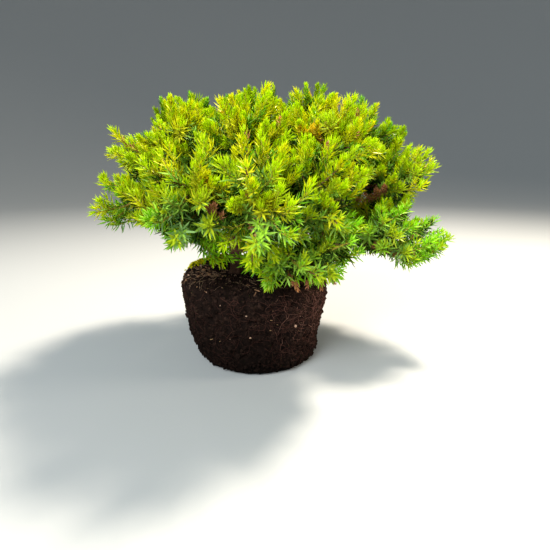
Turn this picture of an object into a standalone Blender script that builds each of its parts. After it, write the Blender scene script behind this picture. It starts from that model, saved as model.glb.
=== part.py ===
"""Dwarf garden juniper grown as a bonsai, lifted out of its pot and standing on its root ball.

Metres, +Z up. X runs to the right and Y away from the viewer. The origin is the middle of the root
ball's flat underside. Headings are degrees round +Z, counted from +X towards +Y.
"""

import math
import random

import bmesh
import bpy
import numpy as np
from mathutils import Vector, noise

MM = 0.001
UP = Vector((0, 0, 1))
GAP = 0.3 * MM  # clearance between pieces that touch
SEED = 538

# Root ball: keeps its pot's shape, a little wider at the top, with a rounded top edge, a worn heel and
# a raised mossy rim at the back left
BALL_HEIGHT = 60 * MM
BALL_TOP_RADIUS = 52.5 * MM
BALL_WAIST_RADIUS = 46.5 * MM  # where the heel begins
BALL_FOOT_RADIUS = 39 * MM
BALL_SHOULDER = 8 * MM
BALL_HEEL = 12 * MM
BALL_OFFSET = -3.2 * MM  # how far the body stands to the left of the foot
BALL_STEPS = 24
RIM_HEADING = 150
RIM_SPREAD = 75
RIM_RISE = 4.5 * MM
RIM_START = 0.55  # share of the top radius where the rim begins to rise
LUMP_HEIGHT = 1.1 * MM
LUMP_SIZE = 17 * MM

# Trunk: route of its middle line and its radius at each point of the route
TRUNK_ROUTE = [
    Vector(p) * MM
    for p in (
        (-16, 2, 60.3),
        (-16.3, 2, 67),
        (-17.5, 1, 79),
        (-13, 1, 93),
        (-5, 2, 107),
        (5, 5, 121),
        (16, 9, 141),
    )
]
TRUNK_RADII = [6.6 * MM, 4.7 * MM, 4.1 * MM, 3.8 * MM, 3.2 * MM, 2.3 * MM, 1.3 * MM]
TRUNK_STEPS = 14
FLARE_HEIGHT = 7 * MM
FLARE_ROOTS = 5
FLARE_DEPTH = 0.22

# Crown: its middle in plan, and one mass of foliage to a row. A row gives what the mass's limb springs
# from and how far along, the heading, reach and height of the mass's middle, and its half sizes along
# the heading, across it and upwards, in millimetres.
CROWN_MIDDLE = Vector((10 * MM, 0, 0))
CROWN_FULLNESS = 1.05  # the masses' half sizes against those given below
CROWN_FLOOR = 85 * MM  # masses above this height grow more and more upright
CROWN = [
    ("left_low", "trunk", 0.35, 189, 77, 114, 44, 37, 25),
    ("left_high", "left_low", 0.45, 174, 80, 142, 39, 36, 30),
    ("left_back", "left_low", 0.58, 158, 92, 120, 36, 38, 27),
    ("front_left", "trunk", 0.46, 239, 75, 119, 38, 38, 34),
    ("front_left_low", "front_left", 0.42, 220, 68, 107, 34, 34, 21),
    ("front_mid", "trunk", 0.585, 264, 73, 118, 38, 38, 34),
    ("front_right_low", "trunk", 0.29, 298, 60, 92, 28, 26, 25),
    ("front_low", "front_right_low", 0.5, 277, 66, 88, 28, 24, 21),
    ("front_right", "front_right_low", 0.4, 294, 58, 120, 36, 33, 34),
    ("right_low", "trunk", 0.39, 7, 84, 88, 49, 36, 29),
    ("right_mid", "trunk", 0.62, 19, 96, 124, 39, 34, 34),
    ("right_high", "right_mid", 0.55, 31, 100, 146, 33, 33, 30),
    ("right_top", "trunk", 0.84, 27, 65, 150, 35, 36, 34),
    ("back_right", "trunk", 0.69, 60, 83, 127, 39, 41, 34),
    ("back_right_low", "right_low", 0.42, 42, 76, 96, 39, 39, 28),
    ("back_mid", "trunk", 0.52, 97, 79, 130, 38, 42, 34),
    ("back_low", "back_mid", 0.38, 100, 77, 98, 36, 42, 28),
    ("back_left", "trunk", 0.565, 135, 85, 129, 39, 40, 33),
    ("back_left_low", "back_left", 0.4, 140, 77, 106, 36, 38, 23),
    ("upper_left", "trunk", 0.66, 205, 59, 143, 38, 38, 34),
    ("upper_front", "trunk", 0.75, 246, 38, 146, 36, 37, 34),
    ("upper_right", "trunk", 0.8, 320, 41, 144, 37, 37, 34),
    ("top_left", "trunk", 0.73, 149, 67, 157, 39, 39, 33),
    ("top_back", "trunk", 0.88, 108, 42, 163, 36, 38, 34),
    ("top_right", "trunk", 1.0, 28, 28, 156, 37, 37, 35),
    ("top_mid", "trunk", 0.61, 172, 21, 151, 33, 33, 33),
]

# Limbs
BOUGH_RADIUS = 2.3 * MM  # of a bough that carries others
LIGHT_BOUGH_RADIUS = 1.7 * MM
LIMB_TIP_RADIUS = 1.2 * MM
LIMB_RISE = 0.45  # upward share of the direction in which a limb leaves

# Twigs of a mass, which stand out of a smaller dense core and carry whorls of needles at their ends
CORE_SHARE = 0.52  # size of the core against the mass's own space
CORE_ROUGHNESS = 0.22
CORE_CLEARANCE = 0.6 * MM  # round a limb that runs through a core
TWIGS_TRIED = 9
TWIG_SPREAD = math.radians(100)  # widest angle between a twig and the mass's own direction
TWIG_SHOWING = 7 * MM  # least length outside the core
TWIG_RADIUS = 1.1 * MM
SHOOT_RADIUS = 1.6 * MM
TWIG_BARE_TIP = 4 * MM  # beyond the last whorl
TWIG_DIP = 0.12  # how far a twig sags before it turns up, as a share of its length
STEM_RADIUS = 1.15 * MM
NEEDLE_LENGTH = 11.5 * MM
WHORL_SPACING = 5.5 * MM
# Angle at which each whorl's needles stand out, from the tip back
WHORL_ANGLES = [math.radians(angle) for angle in (24, 38, 50)]
WALL_MARGIN = 0.35 * MM  # kept inside the wall between two masses
GOLDEN_ANGLE = math.pi * (3 - math.sqrt(5))


def clear_scene():
    for obj in list(bpy.data.objects):
        bpy.data.objects.remove(obj, do_unlink=True)


def new_collection(name):
    collection = bpy.data.collections.new(name)
    bpy.context.scene.collection.children.link(collection)
    return collection


def material(name, colour, roughness):
    made = bpy.data.materials.new(name)
    made.use_nodes = True
    shader = made.node_tree.nodes["Principled BSDF"]
    shader.inputs["Base Color"].default_value = (*colour, 1)
    shader.inputs["Roughness"].default_value = roughness
    shader.inputs["Metallic"].default_value = 0.0
    made.diffuse_color = (*colour, 1)
    return made


def heading_vector(degrees):
    return Vector((math.cos(math.radians(degrees)), math.sin(math.radians(degrees)), 0))


def bezier(start, control, end, steps):
    """Points along a curve that leaves start towards control and arrives at end."""
    shares = [i / steps for i in range(steps + 1)]
    return [start * (1 - t) ** 2 + control * 2 * t * (1 - t) + end * t * t for t in shares]


def smooth_route(route, values, steps):
    """Points and values along a smooth curve through the route's own points."""
    last = len(route) - 1
    points, sampled = [], []
    for i in range(steps + 1):
        place = i / steps * last
        k = min(int(place), last - 1)
        t = place - k
        before, after = route[max(k - 1, 0)], route[min(k + 2, last)]
        a, b = route[k], route[k + 1]
        slope_a, slope_b = (b - before) / 2, (after - a) / 2
        points.append(
            a * (2 * t**3 - 3 * t**2 + 1)
            + slope_a * (t**3 - 2 * t**2 + t)
            + b * (3 * t**2 - 2 * t**3)
            + slope_b * (t**3 - t**2)
        )
        sampled.append(values[k] * (1 - t) + values[k + 1] * t)
    return points, sampled


def point_at(points, share):
    """The point at a share of a polyline's own steps, and the direction there."""
    place = share * (len(points) - 1)
    k = min(int(place), len(points) - 2)
    step = points[k + 1] - points[k]
    return points[k] + step * (place - k), step.normalized()


def tube(name, points, radii, sides, collection):
    """A closed tube round a line of points, as a mesh object."""
    curve = bpy.data.curves.new(name, "CURVE")
    curve.dimensions = "3D"
    curve.use_fill_caps = True
    curve.bevel_depth = MM
    curve.bevel_resolution = (sides - 4) // 2
    spline = curve.splines.new("POLY")
    spline.points.add(len(points) - 1)
    for point, place, radius in zip(spline.points, points, radii):
        point.co = (*place, 1)
        point.radius = radius / MM
    guide = bpy.data.objects.new(name + "_guide", curve)
    collection.objects.link(guide)
    graph = bpy.context.evaluated_depsgraph_get()
    mesh = bpy.data.meshes.new_from_object(guide.evaluated_get(graph))
    weld(mesh)
    made = bpy.data.objects.new(name, mesh)
    made.matrix_world = guide.matrix_world
    collection.objects.link(made)
    bpy.data.objects.remove(guide)
    bpy.data.curves.remove(curve)
    return made


def weld(mesh):
    bm = bmesh.new()
    bm.from_mesh(mesh)
    bmesh.ops.remove_doubles(bm, verts=bm.verts, dist=0.005 * MM)
    bmesh.ops.recalc_face_normals(bm, faces=bm.faces)
    bm.to_mesh(mesh)
    bm.free()


def round_off(obj, sharp_angle=40):
    obj.data.shade_smooth()
    obj.data.set_sharp_from_angle(angle=math.radians(sharp_angle))


# Root ball


def ball_profile():
    """Outer outline of the root ball, from the middle of its top down to the middle of its foot."""
    top, waist, foot = BALL_TOP_RADIUS, BALL_WAIST_RADIUS, BALL_FOOT_RADIUS
    low = BALL_HEIGHT - BALL_SHOULDER
    points = [(0, BALL_HEIGHT), (top * 0.45, BALL_HEIGHT)]
    for degrees in (90, 50, 20, 0):
        turn = math.radians(degrees)
        points.append((top - BALL_SHOULDER * (1 - math.cos(turn)), low + BALL_SHOULDER * math.sin(turn)))
    for share in (0.34, 0.67):
        points.append((top + (waist - top) * share, low + (BALL_HEEL - low) * share))
    for degrees in (0, 30, 60, 90):
        turn = math.radians(degrees)
        points.append((foot + (waist - foot) * math.cos(turn), BALL_HEEL * (1 - math.sin(turn))))
    points.append((0, 0))
    return points


def ball_shift(place):
    """Where a point of the plain turned root ball lies on the real one: set off, lumpy, with its rim."""
    if place.z < 0.01 * MM:
        return place.copy()
    shift = Vector((BALL_OFFSET * min(1, place.z / (1.6 * BALL_HEEL)), 0, 0))
    reach = math.hypot(place.x, place.y)
    if reach > 1 * MM:
        heading = math.degrees(math.atan2(place.y, place.x))
        off = abs((heading - RIM_HEADING + 180) % 360 - 180)
        side = max(0.0, 1 - (off / RIM_SPREAD) ** 2)
        out = min(1.0, max(0.0, (reach / BALL_TOP_RADIUS - RIM_START) / (1 - RIM_START)))
        high = max(0.0, place.z / BALL_HEIGHT - 0.8) / 0.2
        shift.z += RIM_RISE * side * out * high
        outward = Vector((place.x, place.y, 0)).normalized()
        edge = min(1.0, reach / BALL_FOOT_RADIUS) ** 4
        shift += outward * LUMP_HEIGHT * edge * noise.noise(place / LUMP_SIZE)
    return place + shift


def make_root_ball(collection, look):
    """A turned solid, then given the real ball's lean, lumps and raised rim."""
    mesh = bpy.data.meshes.new("root_ball_profile")
    points = ball_profile()
    mesh.from_pydata([(x, 0, z) for x, z in points], [(i, i + 1) for i in range(len(points) - 1)], [])
    turned = bpy.data.objects.new("root_ball_profile", mesh)
    collection.objects.link(turned)
    screw = turned.modifiers.new("turn", "SCREW")
    screw.steps = screw.render_steps = BALL_STEPS
    screw.use_merge_vertices = True
    screw.merge_threshold = 0.00005
    graph = bpy.context.evaluated_depsgraph_get()
    solid = bpy.data.meshes.new_from_object(turned.evaluated_get(graph))
    bpy.data.objects.remove(turned)
    for vertex in solid.vertices:
        vertex.co = ball_shift(vertex.co)
    ball = bpy.data.objects.new("root_ball", solid)
    collection.objects.link(ball)
    ball.data.materials.clear()
    ball.data.materials.append(look)
    round_off(ball)
    return ball


# Trunk and limbs


def make_trunk(collection, look, points, radii):
    trunk = tube("trunk", points, radii, limb_sides("trunk"), collection)
    foot = points[0]
    for vertex in trunk.data.vertices:
        height = vertex.co.z - foot.z
        if height < FLARE_HEIGHT:
            out = Vector((vertex.co.x - foot.x, vertex.co.y - foot.y, 0))
            lobe = math.cos(FLARE_ROOTS * math.atan2(out.y, out.x))
            vertex.co += out * FLARE_DEPTH * lobe * (1 - height / FLARE_HEIGHT) ** 2
        if height < 1 * MM:
            vertex.co.z = foot.z
    trunk.data.materials.append(look)
    round_off(trunk)
    return trunk


class Space:
    """What a mass keeps to: an ellipsoid, its side of the wall to each other mass, above the soil."""

    def __init__(self, row):
        heading, reach, height = row[3:6]
        self.out = heading_vector(heading)
        self.middle = CROWN_MIDDLE + self.out * reach * MM + UP * height * MM
        self.axes = (self.out, UP.cross(self.out), UP)
        self.sizes = [size * MM * CROWN_FULLNESS for size in row[6:9]]
        self.size = sum(self.sizes) / 3
        self.walls = [(-UP, -(BALL_HEIGHT + RIM_RISE))]

    def add_wall(self, other):
        between = other.middle - self.middle
        far = between.length
        if far < 2 * (self.size + other.size):
            share = (far * far + self.size**2 - other.size**2) / (2 * far)
            normal = between / far
            self.walls.append((normal, self.middle.dot(normal) + share - WALL_MARGIN))

    def holds(self, place, radius):
        """Whether a ball at place keeps to this mass's side of every wall."""
        return all(place.dot(normal) + radius < offset for normal, offset in self.walls)

    def reach(self, start, direction, radius):
        """How far a ball can go from start, inside the space, before it leaves."""
        place = [(start - self.middle).dot(axis) / size for axis, size in zip(self.axes, self.sizes)]
        step = [direction.dot(axis) / size for axis, size in zip(self.axes, self.sizes)]
        a = sum(x * x for x in step)
        b = sum(x * y for x, y in zip(place, step))
        c = sum(x * x for x in place) - 1
        far = (math.sqrt(max(b * b - a * c, 0)) - b) / a
        for normal, offset in self.walls:
            toward = direction.dot(normal)
            if toward > 0:
                far = min(far, (offset - radius - start.dot(normal)) / toward)
        return max(far, 0)


def plan_spaces():
    spaces = {row[0]: Space(row) for row in CROWN}
    for space in spaces.values():
        for other in spaces.values():
            if other is not space:
                space.add_wall(other)
    return spaces


def plan_limbs(spaces, trunk_points):
    """For each mass, the line and radii of its limb, which ends at the mass's core."""
    carriers = {row[1] for row in CROWN}
    lines = {"trunk": trunk_points}
    limbs = {}
    for row in CROWN:
        name, parent, at = row[:3]
        if at == 1.0:
            limbs[name] = None  # the trunk's own tip carries this mass
            continue
        space = spaces[name]
        start, _ = point_at(lines[parent], at)
        back = (start - space.middle).normalized()
        core = space.reach(space.middle, back, 0) * CORE_SHARE
        entry = space.middle + back * (core + 2 * MM)
        length = (entry - start).length
        level = Vector((entry.x - start.x, entry.y - start.y, 0)).normalized()
        leave = (level + UP * LIMB_RISE).normalized()
        bend = start + leave * length * 0.45
        arrive = entry + back * length * 0.2
        steps = 6 if length > 70 * MM else 4
        line = bezier(start, bend.lerp(arrive, 0.35), entry, steps)
        base = BOUGH_RADIUS if name in carriers else LIGHT_BOUGH_RADIUS
        radii = [base + (LIMB_TIP_RADIUS - base) * i / steps for i in range(steps + 1)]
        lines[name] = line
        limbs[name] = (line, radii)
    return limbs


def socket_cutter(name, line, radii, cutters):
    """A limb's own shape, fattened by the clearance that its neighbours keep."""
    found = bpy.data.objects.get("socket_" + name)
    if found:
        return found
    wider = [radius + GAP for radius in radii]
    cutter = tube("socket_" + name, line, wider, limb_sides(name), cutters)
    cutter.hide_render = True
    cutter.display_type = "WIRE"
    return cutter


def limb_sides(name):
    if name == "trunk":
        return 10
    return 6


def too_near(line, radii, other_line, other_radii):
    for place, radius in zip(line, radii):
        for i in range(len(other_line) - 1):
            span = other_line[i + 1] - other_line[i]
            share = min(1.0, max(0.0, (place - other_line[i]).dot(span) / span.length_squared))
            nearest = other_line[i] + span * share
            if (place - nearest).length < radius + other_radii[i] + 2 * GAP:
                return True
    return False


def make_limb(name, line, radii, beside, collection, cutters, look):
    """One tapering limb, hollowed to sit against the limbs beside it, given as name, line and radii."""
    limb = tube("bough_" + name, line, radii, limb_sides(name), collection)
    for other, other_line, other_radii in beside:
        cut = limb.modifiers.new("socket_" + other, "BOOLEAN")
        cut.operation = "DIFFERENCE"
        cut.object = socket_cutter(other, other_line, other_radii, cutters)
    limb.data.materials.append(look)
    round_off(limb)
    return limb


# Masses of foliage


def limb_samples(limbs):
    """Close points along every limb, with their radii, for testing clearance."""
    places, radii = [], []
    for line, sizes in limbs.values():
        for i in range(len(line) - 1):
            for k in range(7):
                places.append(line[i].lerp(line[i + 1], k / 6))
                radii.append(sizes[i] * (1 - k / 6) + sizes[i + 1] * k / 6)
    return np.array(places), np.array(radii)


def clear_of_limbs(start, end, radius, samples):
    """Whether a straight piece of that radius keeps its clearance to every limb."""
    places, radii = samples
    a, b = np.array(start), np.array(end)
    span = b - a
    along = np.clip((places - a) @ span / max(span @ span, 1e-12), 0, 1)
    nearest = a + along[:, None] * span
    apart = np.linalg.norm(places - nearest, axis=1)
    return bool((apart > radii + radius + 2 * GAP).all())


def frame_across(direction):
    side = direction.cross(UP)
    if side.length < 0.05:
        side = direction.cross(Vector((1, 0, 0)))
    side.normalize()
    return side, side.cross(direction)


def grow_mass(name, space, root, inward, samples):
    """Stem and twigs of one mass, by a seeded rule. Its limb ends at root, pointing inward."""
    rng = random.Random(SEED + [row[0] for row in CROWN].index(name))
    middle, size = space.middle, space.size
    outward = max((middle - CROWN_MIDDLE).dot(space.out), 1 * MM)
    rise = math.atan2(max(middle.z - CROWN_FLOOR, 0), outward)
    main = (space.out * math.cos(rise) + UP * math.sin(rise)).normalized()
    side, over = frame_across(main)
    stem_end = middle + main * space.reach(middle, main, SHOOT_RADIUS) * 0.4
    stem = bezier(root + inward * GAP, middle, stem_end, 4)
    twigs = []
    heart = middle - main * size * 0.2
    phase = rng.uniform(0, 2 * math.pi)
    for k in range(TWIGS_TRIED):
        share = k / (TWIGS_TRIED - 1)
        lean = math.acos(1 - share * (1 - math.cos(TWIG_SPREAD)))
        turn = phase + k * GOLDEN_ANGLE
        toward = main * math.cos(lean) + (side * math.cos(turn) + over * math.sin(turn)) * math.sin(lean)
        tip = heart + toward * space.reach(heart, toward, SHOOT_RADIUS) * rng.uniform(0.93, 1.0)
        from_middle = tip - middle
        core = space.reach(middle, from_middle.normalized(), 0) * CORE_SHARE
        if from_middle.length < core + TWIG_SHOWING:
            continue
        start, _ = point_at(stem, 0.92 - 0.72 * lean / TWIG_SPREAD)
        length = (tip - start).length
        control = start.lerp(tip, 0.5) + main * length * 0.1 - UP * length * TWIG_DIP
        line = bezier(start, control, tip, 12)
        held = all(space.holds(place, SHOOT_RADIUS) for place in line)
        if held and all(clear_of_limbs(*step, SHOOT_RADIUS, samples) for step in zip(line, line[1:])):
            twigs.append(line)
    return stem, twigs


def behind_tip(line, distance):
    """The point that lies this far back along a line from its end."""
    for k in range(len(line) - 1, 0, -1):
        step = line[k - 1] - line[k]
        if distance <= step.length:
            return line[k] + step * (distance / step.length)
        distance -= step.length
    return line[0].copy()


def leafy_twig(name, line, space, samples, collection):
    """A three-sided twig that ends in whorls of needles.

    Its rings are turned by half a side against each other, and the faces that point forward between
    two rings are drawn out into needles, so each whorl stands in the gaps of the one before.
    """
    length = sum((b - a).length for a, b in zip(line, line[1:]))
    whorls = min(len(WHORL_ANGLES), int((length - TWIG_BARE_TIP) / WHORL_SPACING - 0.7))
    stops = [TWIG_BARE_TIP + (whorls - k) * WHORL_SPACING for k in range(whorls + 1)]
    centres = [line[0]] + [behind_tip(line, stop) for stop in stops]
    radii = [TWIG_RADIUS] + [SHOOT_RADIUS] * (whorls + 1)
    side = frame_across((centres[1] - centres[0]).normalized())[0]
    bm = bmesh.new()
    rings = []
    for number, (centre, radius) in enumerate(zip(centres, radii)):
        ahead = centres[number + 1] if number <= whorls else line[-1]
        direction = (ahead - centre).normalized()
        side = (side - direction * side.dot(direction)).normalized()
        over = direction.cross(side)
        turns = [math.pi / 3 * (number + 2 * k) for k in range(3)]
        rings.append(
            [bm.verts.new(centre + (side * math.cos(t) + over * math.sin(t)) * radius) for t in turns]
        )
    tip = bm.verts.new(line[-1])
    bm.faces.new(reversed(rings[0]))
    for number in range(whorls + 1):
        low, high = rings[number], rings[number + 1]
        for k in range(3):
            forward = bm.faces.new((low[k], low[(k + 1) % 3], high[k]))
            bm.faces.new((low[(k + 1) % 3], high[(k + 1) % 3], high[k]))
            if number > 0:
                axis = centres[number + 1] - centres[number]
                draw_needle(bm, forward, axis.normalized(), WHORL_ANGLES[whorls - number], space, samples)
    for k in range(3):
        bm.faces.new((rings[-1][k], rings[-1][(k + 1) % 3], tip))
    mesh = bpy.data.meshes.new(name)
    bm.to_mesh(mesh)
    bm.free()
    twig = bpy.data.objects.new(name, mesh)
    collection.objects.link(twig)
    return twig


def draw_needle(bm, face, direction, angle, space, samples):
    """Draws a face out to a point. A needle that would leave the space or touch a limb is skipped."""
    face.normal_update()
    root = face.calc_center_median()
    out = (face.normal - direction * face.normal.dot(direction)).normalized()
    tip = root + (direction * math.cos(angle) + out * math.sin(angle)) * NEEDLE_LENGTH
    if space.holds(tip, 0) and clear_of_limbs(root, tip, SHOOT_RADIUS / 2, samples):
        for vertex in bmesh.ops.poke(bm, faces=[face])["verts"]:
            vertex.co = tip


def make_core(name, space, limbs, collection, cutters):
    """The rough, dense middle of a mass, drawn in from its space and cut clear of any limb in it."""
    bm = bmesh.new()
    bmesh.ops.create_icosphere(bm, subdivisions=2, radius=1)
    for vertex in bm.verts:
        direction = vertex.co.normalized()
        share = CORE_SHARE + CORE_ROUGHNESS * noise.noise(direction * 4 + space.middle / MM)
        vertex.co = space.middle + direction * space.reach(space.middle, direction, 0) * share
    mesh = bpy.data.meshes.new("foliage_" + name)
    bm.to_mesh(mesh)
    bm.free()
    core = bpy.data.objects.new("foliage_" + name, mesh)
    collection.objects.link(core)
    for other, (line, radii) in limbs.items():
        if not runs_through(space, line, radii):
            continue
        wide = [radius + CORE_CLEARANCE for radius in radii]
        cutter = tube("clear_of_" + other, line, wide, limb_sides(other), cutters)
        cut = core.modifiers.new("clear_of_" + other, "BOOLEAN")
        cut.operation = "DIFFERENCE"
        cut.object = cutter
        bake_modifiers(core)
        bpy.data.objects.remove(cutter)
    return core


def runs_through(space, line, radii):
    for i in range(len(line) - 1):
        for k in range(5):
            place = line[i].lerp(line[i + 1], k / 4)
            from_middle = place - space.middle
            core = space.reach(space.middle, from_middle.normalized(), 0) * CORE_SHARE
            if from_middle.length < core + radii[i] + 2 * CORE_CLEARANCE:
                return True
    return False


def bake_modifiers(obj):
    graph = bpy.context.evaluated_depsgraph_get()
    baked = bpy.data.meshes.new_from_object(obj.evaluated_get(graph))
    obj.modifiers.clear()
    obj.data = baked


def keep_largest_body(mesh):
    """Drops loose scraps and fills sealed hollows: both are surfaces apart from the main one."""
    bm = bmesh.new()
    bm.from_mesh(mesh)
    bm.faces.ensure_lookup_table()
    left = set(bm.faces)
    bodies = []
    while left:
        body, edge = set(), [left.pop()]
        while edge:
            face = edge.pop()
            body.add(face)
            for near in {other for e in face.edges for other in e.link_faces}:
                if near in left:
                    left.remove(near)
                    edge.append(near)
        bodies.append(body)
    largest = max(bodies, key=lambda body: sum(face.calc_area() for face in body))
    loose = [face for body in bodies if body is not largest for face in body]
    bmesh.ops.delete(bm, geom=loose, context="FACES")
    bm.to_mesh(mesh)
    bm.free()


def make_mass(name, space, grown, limbs, samples, collection, cutters, look):
    """Joins a mass's core, stem, twigs and needles into one solid."""
    stem, twigs = grown
    mass = make_core(name, space, limbs, collection, cutters)
    pieces = new_collection("pieces_" + name)
    tube("stem_" + name, stem, [STEM_RADIUS] * len(stem), 6, pieces)
    for number, line in enumerate(twigs):
        leafy_twig(f"twig_{name}_{number}", line, space, samples, pieces)
    join = mass.modifiers.new("join", "BOOLEAN")
    join.operation = "UNION"
    join.operand_type = "COLLECTION"
    join.collection = pieces
    join.solver = "EXACT"
    bake_modifiers(mass)
    keep_largest_body(mass.data)
    for obj in list(pieces.objects):
        bpy.data.objects.remove(obj)
    bpy.data.collections.remove(pieces)
    mass.data.materials.clear()
    mass.data.materials.append(look)
    return mass


def main():
    clear_scene()
    parts = new_collection("juniper_bonsai")
    cutters = new_collection("cutters")
    soil = material("soil_and_roots", (0.035, 0.022, 0.015), 0.95)
    bark = material("bark", (0.16, 0.085, 0.05), 0.85)
    green = material("needles", (0.27, 0.45, 0.03), 0.5)
    make_root_ball(parts, soil)
    trunk_points, trunk_radii = smooth_route(TRUNK_ROUTE, TRUNK_RADII, TRUNK_STEPS)
    make_trunk(parts, bark, trunk_points, trunk_radii)
    spaces = plan_spaces()
    planned = plan_limbs(spaces, trunk_points)
    limbs = {"trunk": (trunk_points, trunk_radii)}
    for name, parent in [row[:2] for row in CROWN]:
        if not planned[name]:
            continue
        line, radii = planned[name]
        beside = [
            (other, *shape)
            for other, shape in limbs.items()
            if other == parent or too_near(line, radii, *shape)
        ]
        make_limb(name, line, radii, beside, parts, cutters, bark)
        limbs[name] = planned[name]
    samples = limb_samples(limbs)
    for name, space in spaces.items():
        line = limbs[name][0] if name in limbs else trunk_points
        inward = (line[-1] - line[-2]).normalized()
        grown = grow_mass(name, space, line[-1], inward, samples)
        make_mass(name, space, grown, limbs, samples, parts, cutters, green)


main()
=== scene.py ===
import math
import random

import bmesh
import bpy
import numpy as np
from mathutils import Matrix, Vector, kdtree, noise
from mathutils.bvhtree import BVHTree


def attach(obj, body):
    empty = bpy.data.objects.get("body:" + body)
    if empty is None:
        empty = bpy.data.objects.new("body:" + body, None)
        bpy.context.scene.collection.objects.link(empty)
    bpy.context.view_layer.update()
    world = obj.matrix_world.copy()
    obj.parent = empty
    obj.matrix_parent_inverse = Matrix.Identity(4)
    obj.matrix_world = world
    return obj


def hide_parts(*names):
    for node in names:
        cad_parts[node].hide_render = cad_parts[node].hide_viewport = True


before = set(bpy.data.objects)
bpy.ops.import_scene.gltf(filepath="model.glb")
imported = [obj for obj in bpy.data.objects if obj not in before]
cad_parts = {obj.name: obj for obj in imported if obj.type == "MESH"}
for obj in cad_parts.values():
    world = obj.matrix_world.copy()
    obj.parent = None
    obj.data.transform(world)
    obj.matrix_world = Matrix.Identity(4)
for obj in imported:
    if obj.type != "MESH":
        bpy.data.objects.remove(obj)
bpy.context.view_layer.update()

MM = 0.001
UP = Vector((0, 0, 1))
SEED = 538

# Root ball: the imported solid's own sizes
BALL_HEIGHT = 60 * MM
BALL_TOP_RADIUS = 52.5 * MM
BALL_WAIST_RADIUS = 46.5 * MM
BALL_FOOT_RADIUS = 39 * MM
BALL_SHOULDER = 8 * MM
BALL_HEEL = 12 * MM
BALL_OFFSET = -3.2 * MM
RIM_HEADING = 150
RIM_SPREAD = 75
RIM_RISE = 4.5 * MM
RIM_START = 0.55
LUMP_HEIGHT = 1.1 * MM
LUMP_SIZE = 17 * MM

# Root ball: what is made here only. The fineness of its skin, the moss and its lip on the rim, the worn
# foot and the numbers of roots.
BALL_SECTORS = 290
BALL_STEP = 1.15 * MM
MOSS_HEADING = 136
MOSS_SPREAD = 47
LIP_HEIGHT = 2.8 * MM
LIP_SPREAD = 62
LIP_REACH = 47.5 * MM
LIP_WIDTH = 3.4 * MM
WORN_DEPTH = 2.6 * MM  # at the foot's right
WORN_HEIGHT = 34 * MM
FINE_ROOTS = 540
SURFACE_ROOTS = 40

# Trunk: route of its middle line and its radius at each point of the route
TRUNK_ROUTE = [
    Vector(p) * MM
    for p in (
        (-16, 2, 60.3),
        (-16.3, 2, 67),
        (-17.5, 1, 79),
        (-13, 1, 93),
        (-5, 2, 107),
        (5, 5, 121),
        (16, 9, 141),
    )
]
TRUNK_RADII = [6.6 * MM, 4.7 * MM, 4.1 * MM, 3.8 * MM, 3.2 * MM, 2.3 * MM, 1.3 * MM]
TRUNK_STEPS = 14
FLARE_HEIGHT = 7 * MM
FLARE_ROOTS = 5
FLARE_DEPTH = 0.22

# Crown, as in the part's source: a mass to a row, with what its limb springs from and how far along,
# the heading, reach and height of its middle, and its half sizes along the heading, across and upwards
CROWN_MIDDLE = Vector((10 * MM, 0, 0))
CROWN_FULLNESS = 1.05
CROWN_FLOOR = 85 * MM
CROWN = [
    ("left_low", "trunk", 0.35, 189, 77, 114, 44, 37, 25),
    ("left_high", "left_low", 0.45, 174, 80, 142, 39, 36, 30),
    ("left_back", "left_low", 0.58, 158, 92, 120, 36, 38, 27),
    ("front_left", "trunk", 0.46, 239, 75, 119, 38, 38, 34),
    ("front_left_low", "front_left", 0.42, 220, 68, 107, 34, 34, 21),
    ("front_mid", "trunk", 0.585, 264, 73, 118, 38, 38, 34),
    ("front_right_low", "trunk", 0.29, 298, 60, 92, 28, 26, 25),
    ("front_low", "front_right_low", 0.5, 277, 66, 88, 28, 24, 21),
    ("front_right", "front_right_low", 0.4, 294, 58, 120, 36, 33, 34),
    ("right_low", "trunk", 0.39, 7, 84, 88, 49, 36, 29),
    ("right_mid", "trunk", 0.62, 19, 96, 124, 39, 34, 34),
    ("right_high", "right_mid", 0.55, 31, 100, 146, 33, 33, 30),
    ("right_top", "trunk", 0.84, 27, 65, 150, 35, 36, 34),
    ("back_right", "trunk", 0.69, 60, 83, 127, 39, 41, 34),
    ("back_right_low", "right_low", 0.42, 42, 76, 96, 39, 39, 28),
    ("back_mid", "trunk", 0.52, 97, 79, 130, 38, 42, 34),
    ("back_low", "back_mid", 0.38, 100, 77, 98, 36, 42, 28),
    ("back_left", "trunk", 0.565, 135, 85, 129, 39, 40, 33),
    ("back_left_low", "back_left", 0.4, 140, 77, 106, 36, 38, 23),
    ("upper_left", "trunk", 0.66, 205, 59, 143, 38, 38, 34),
    ("upper_front", "trunk", 0.75, 246, 38, 146, 36, 37, 34),
    ("upper_right", "trunk", 0.8, 320, 41, 144, 37, 37, 34),
    ("top_left", "trunk", 0.73, 149, 67, 157, 39, 39, 33),
    ("top_back", "trunk", 0.88, 108, 42, 163, 36, 38, 34),
    ("top_right", "trunk", 1.0, 28, 28, 156, 37, 37, 35),
    ("top_mid", "trunk", 0.61, 172, 21, 151, 33, 33, 33),
]
MASSES = ["foliage_" + row[0] for row in CROWN]

# Limbs and first twigs, as in the part's source
GAP = 0.3 * MM
BOUGH_RADIUS = 2.3 * MM
LIGHT_BOUGH_RADIUS = 1.7 * MM
LIMB_TIP_RADIUS = 1.2 * MM
LIMB_RISE = 0.45
CORE_SHARE = 0.52
TWIGS_TRIED = 9
TWIG_SPREAD = math.radians(100)
TWIG_SHOWING = 7 * MM
SHOOT_RADIUS = 1.6 * MM
TWIG_DIP = 0.12
WALL_MARGIN = 0.35 * MM
GOLDEN_ANGLE = math.pi * (3 - math.sqrt(5))

# Sprays: a leading shoot with side shoots on both sides, carried by the first twigs
SPRAYS_PER_MASS = 53
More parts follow.
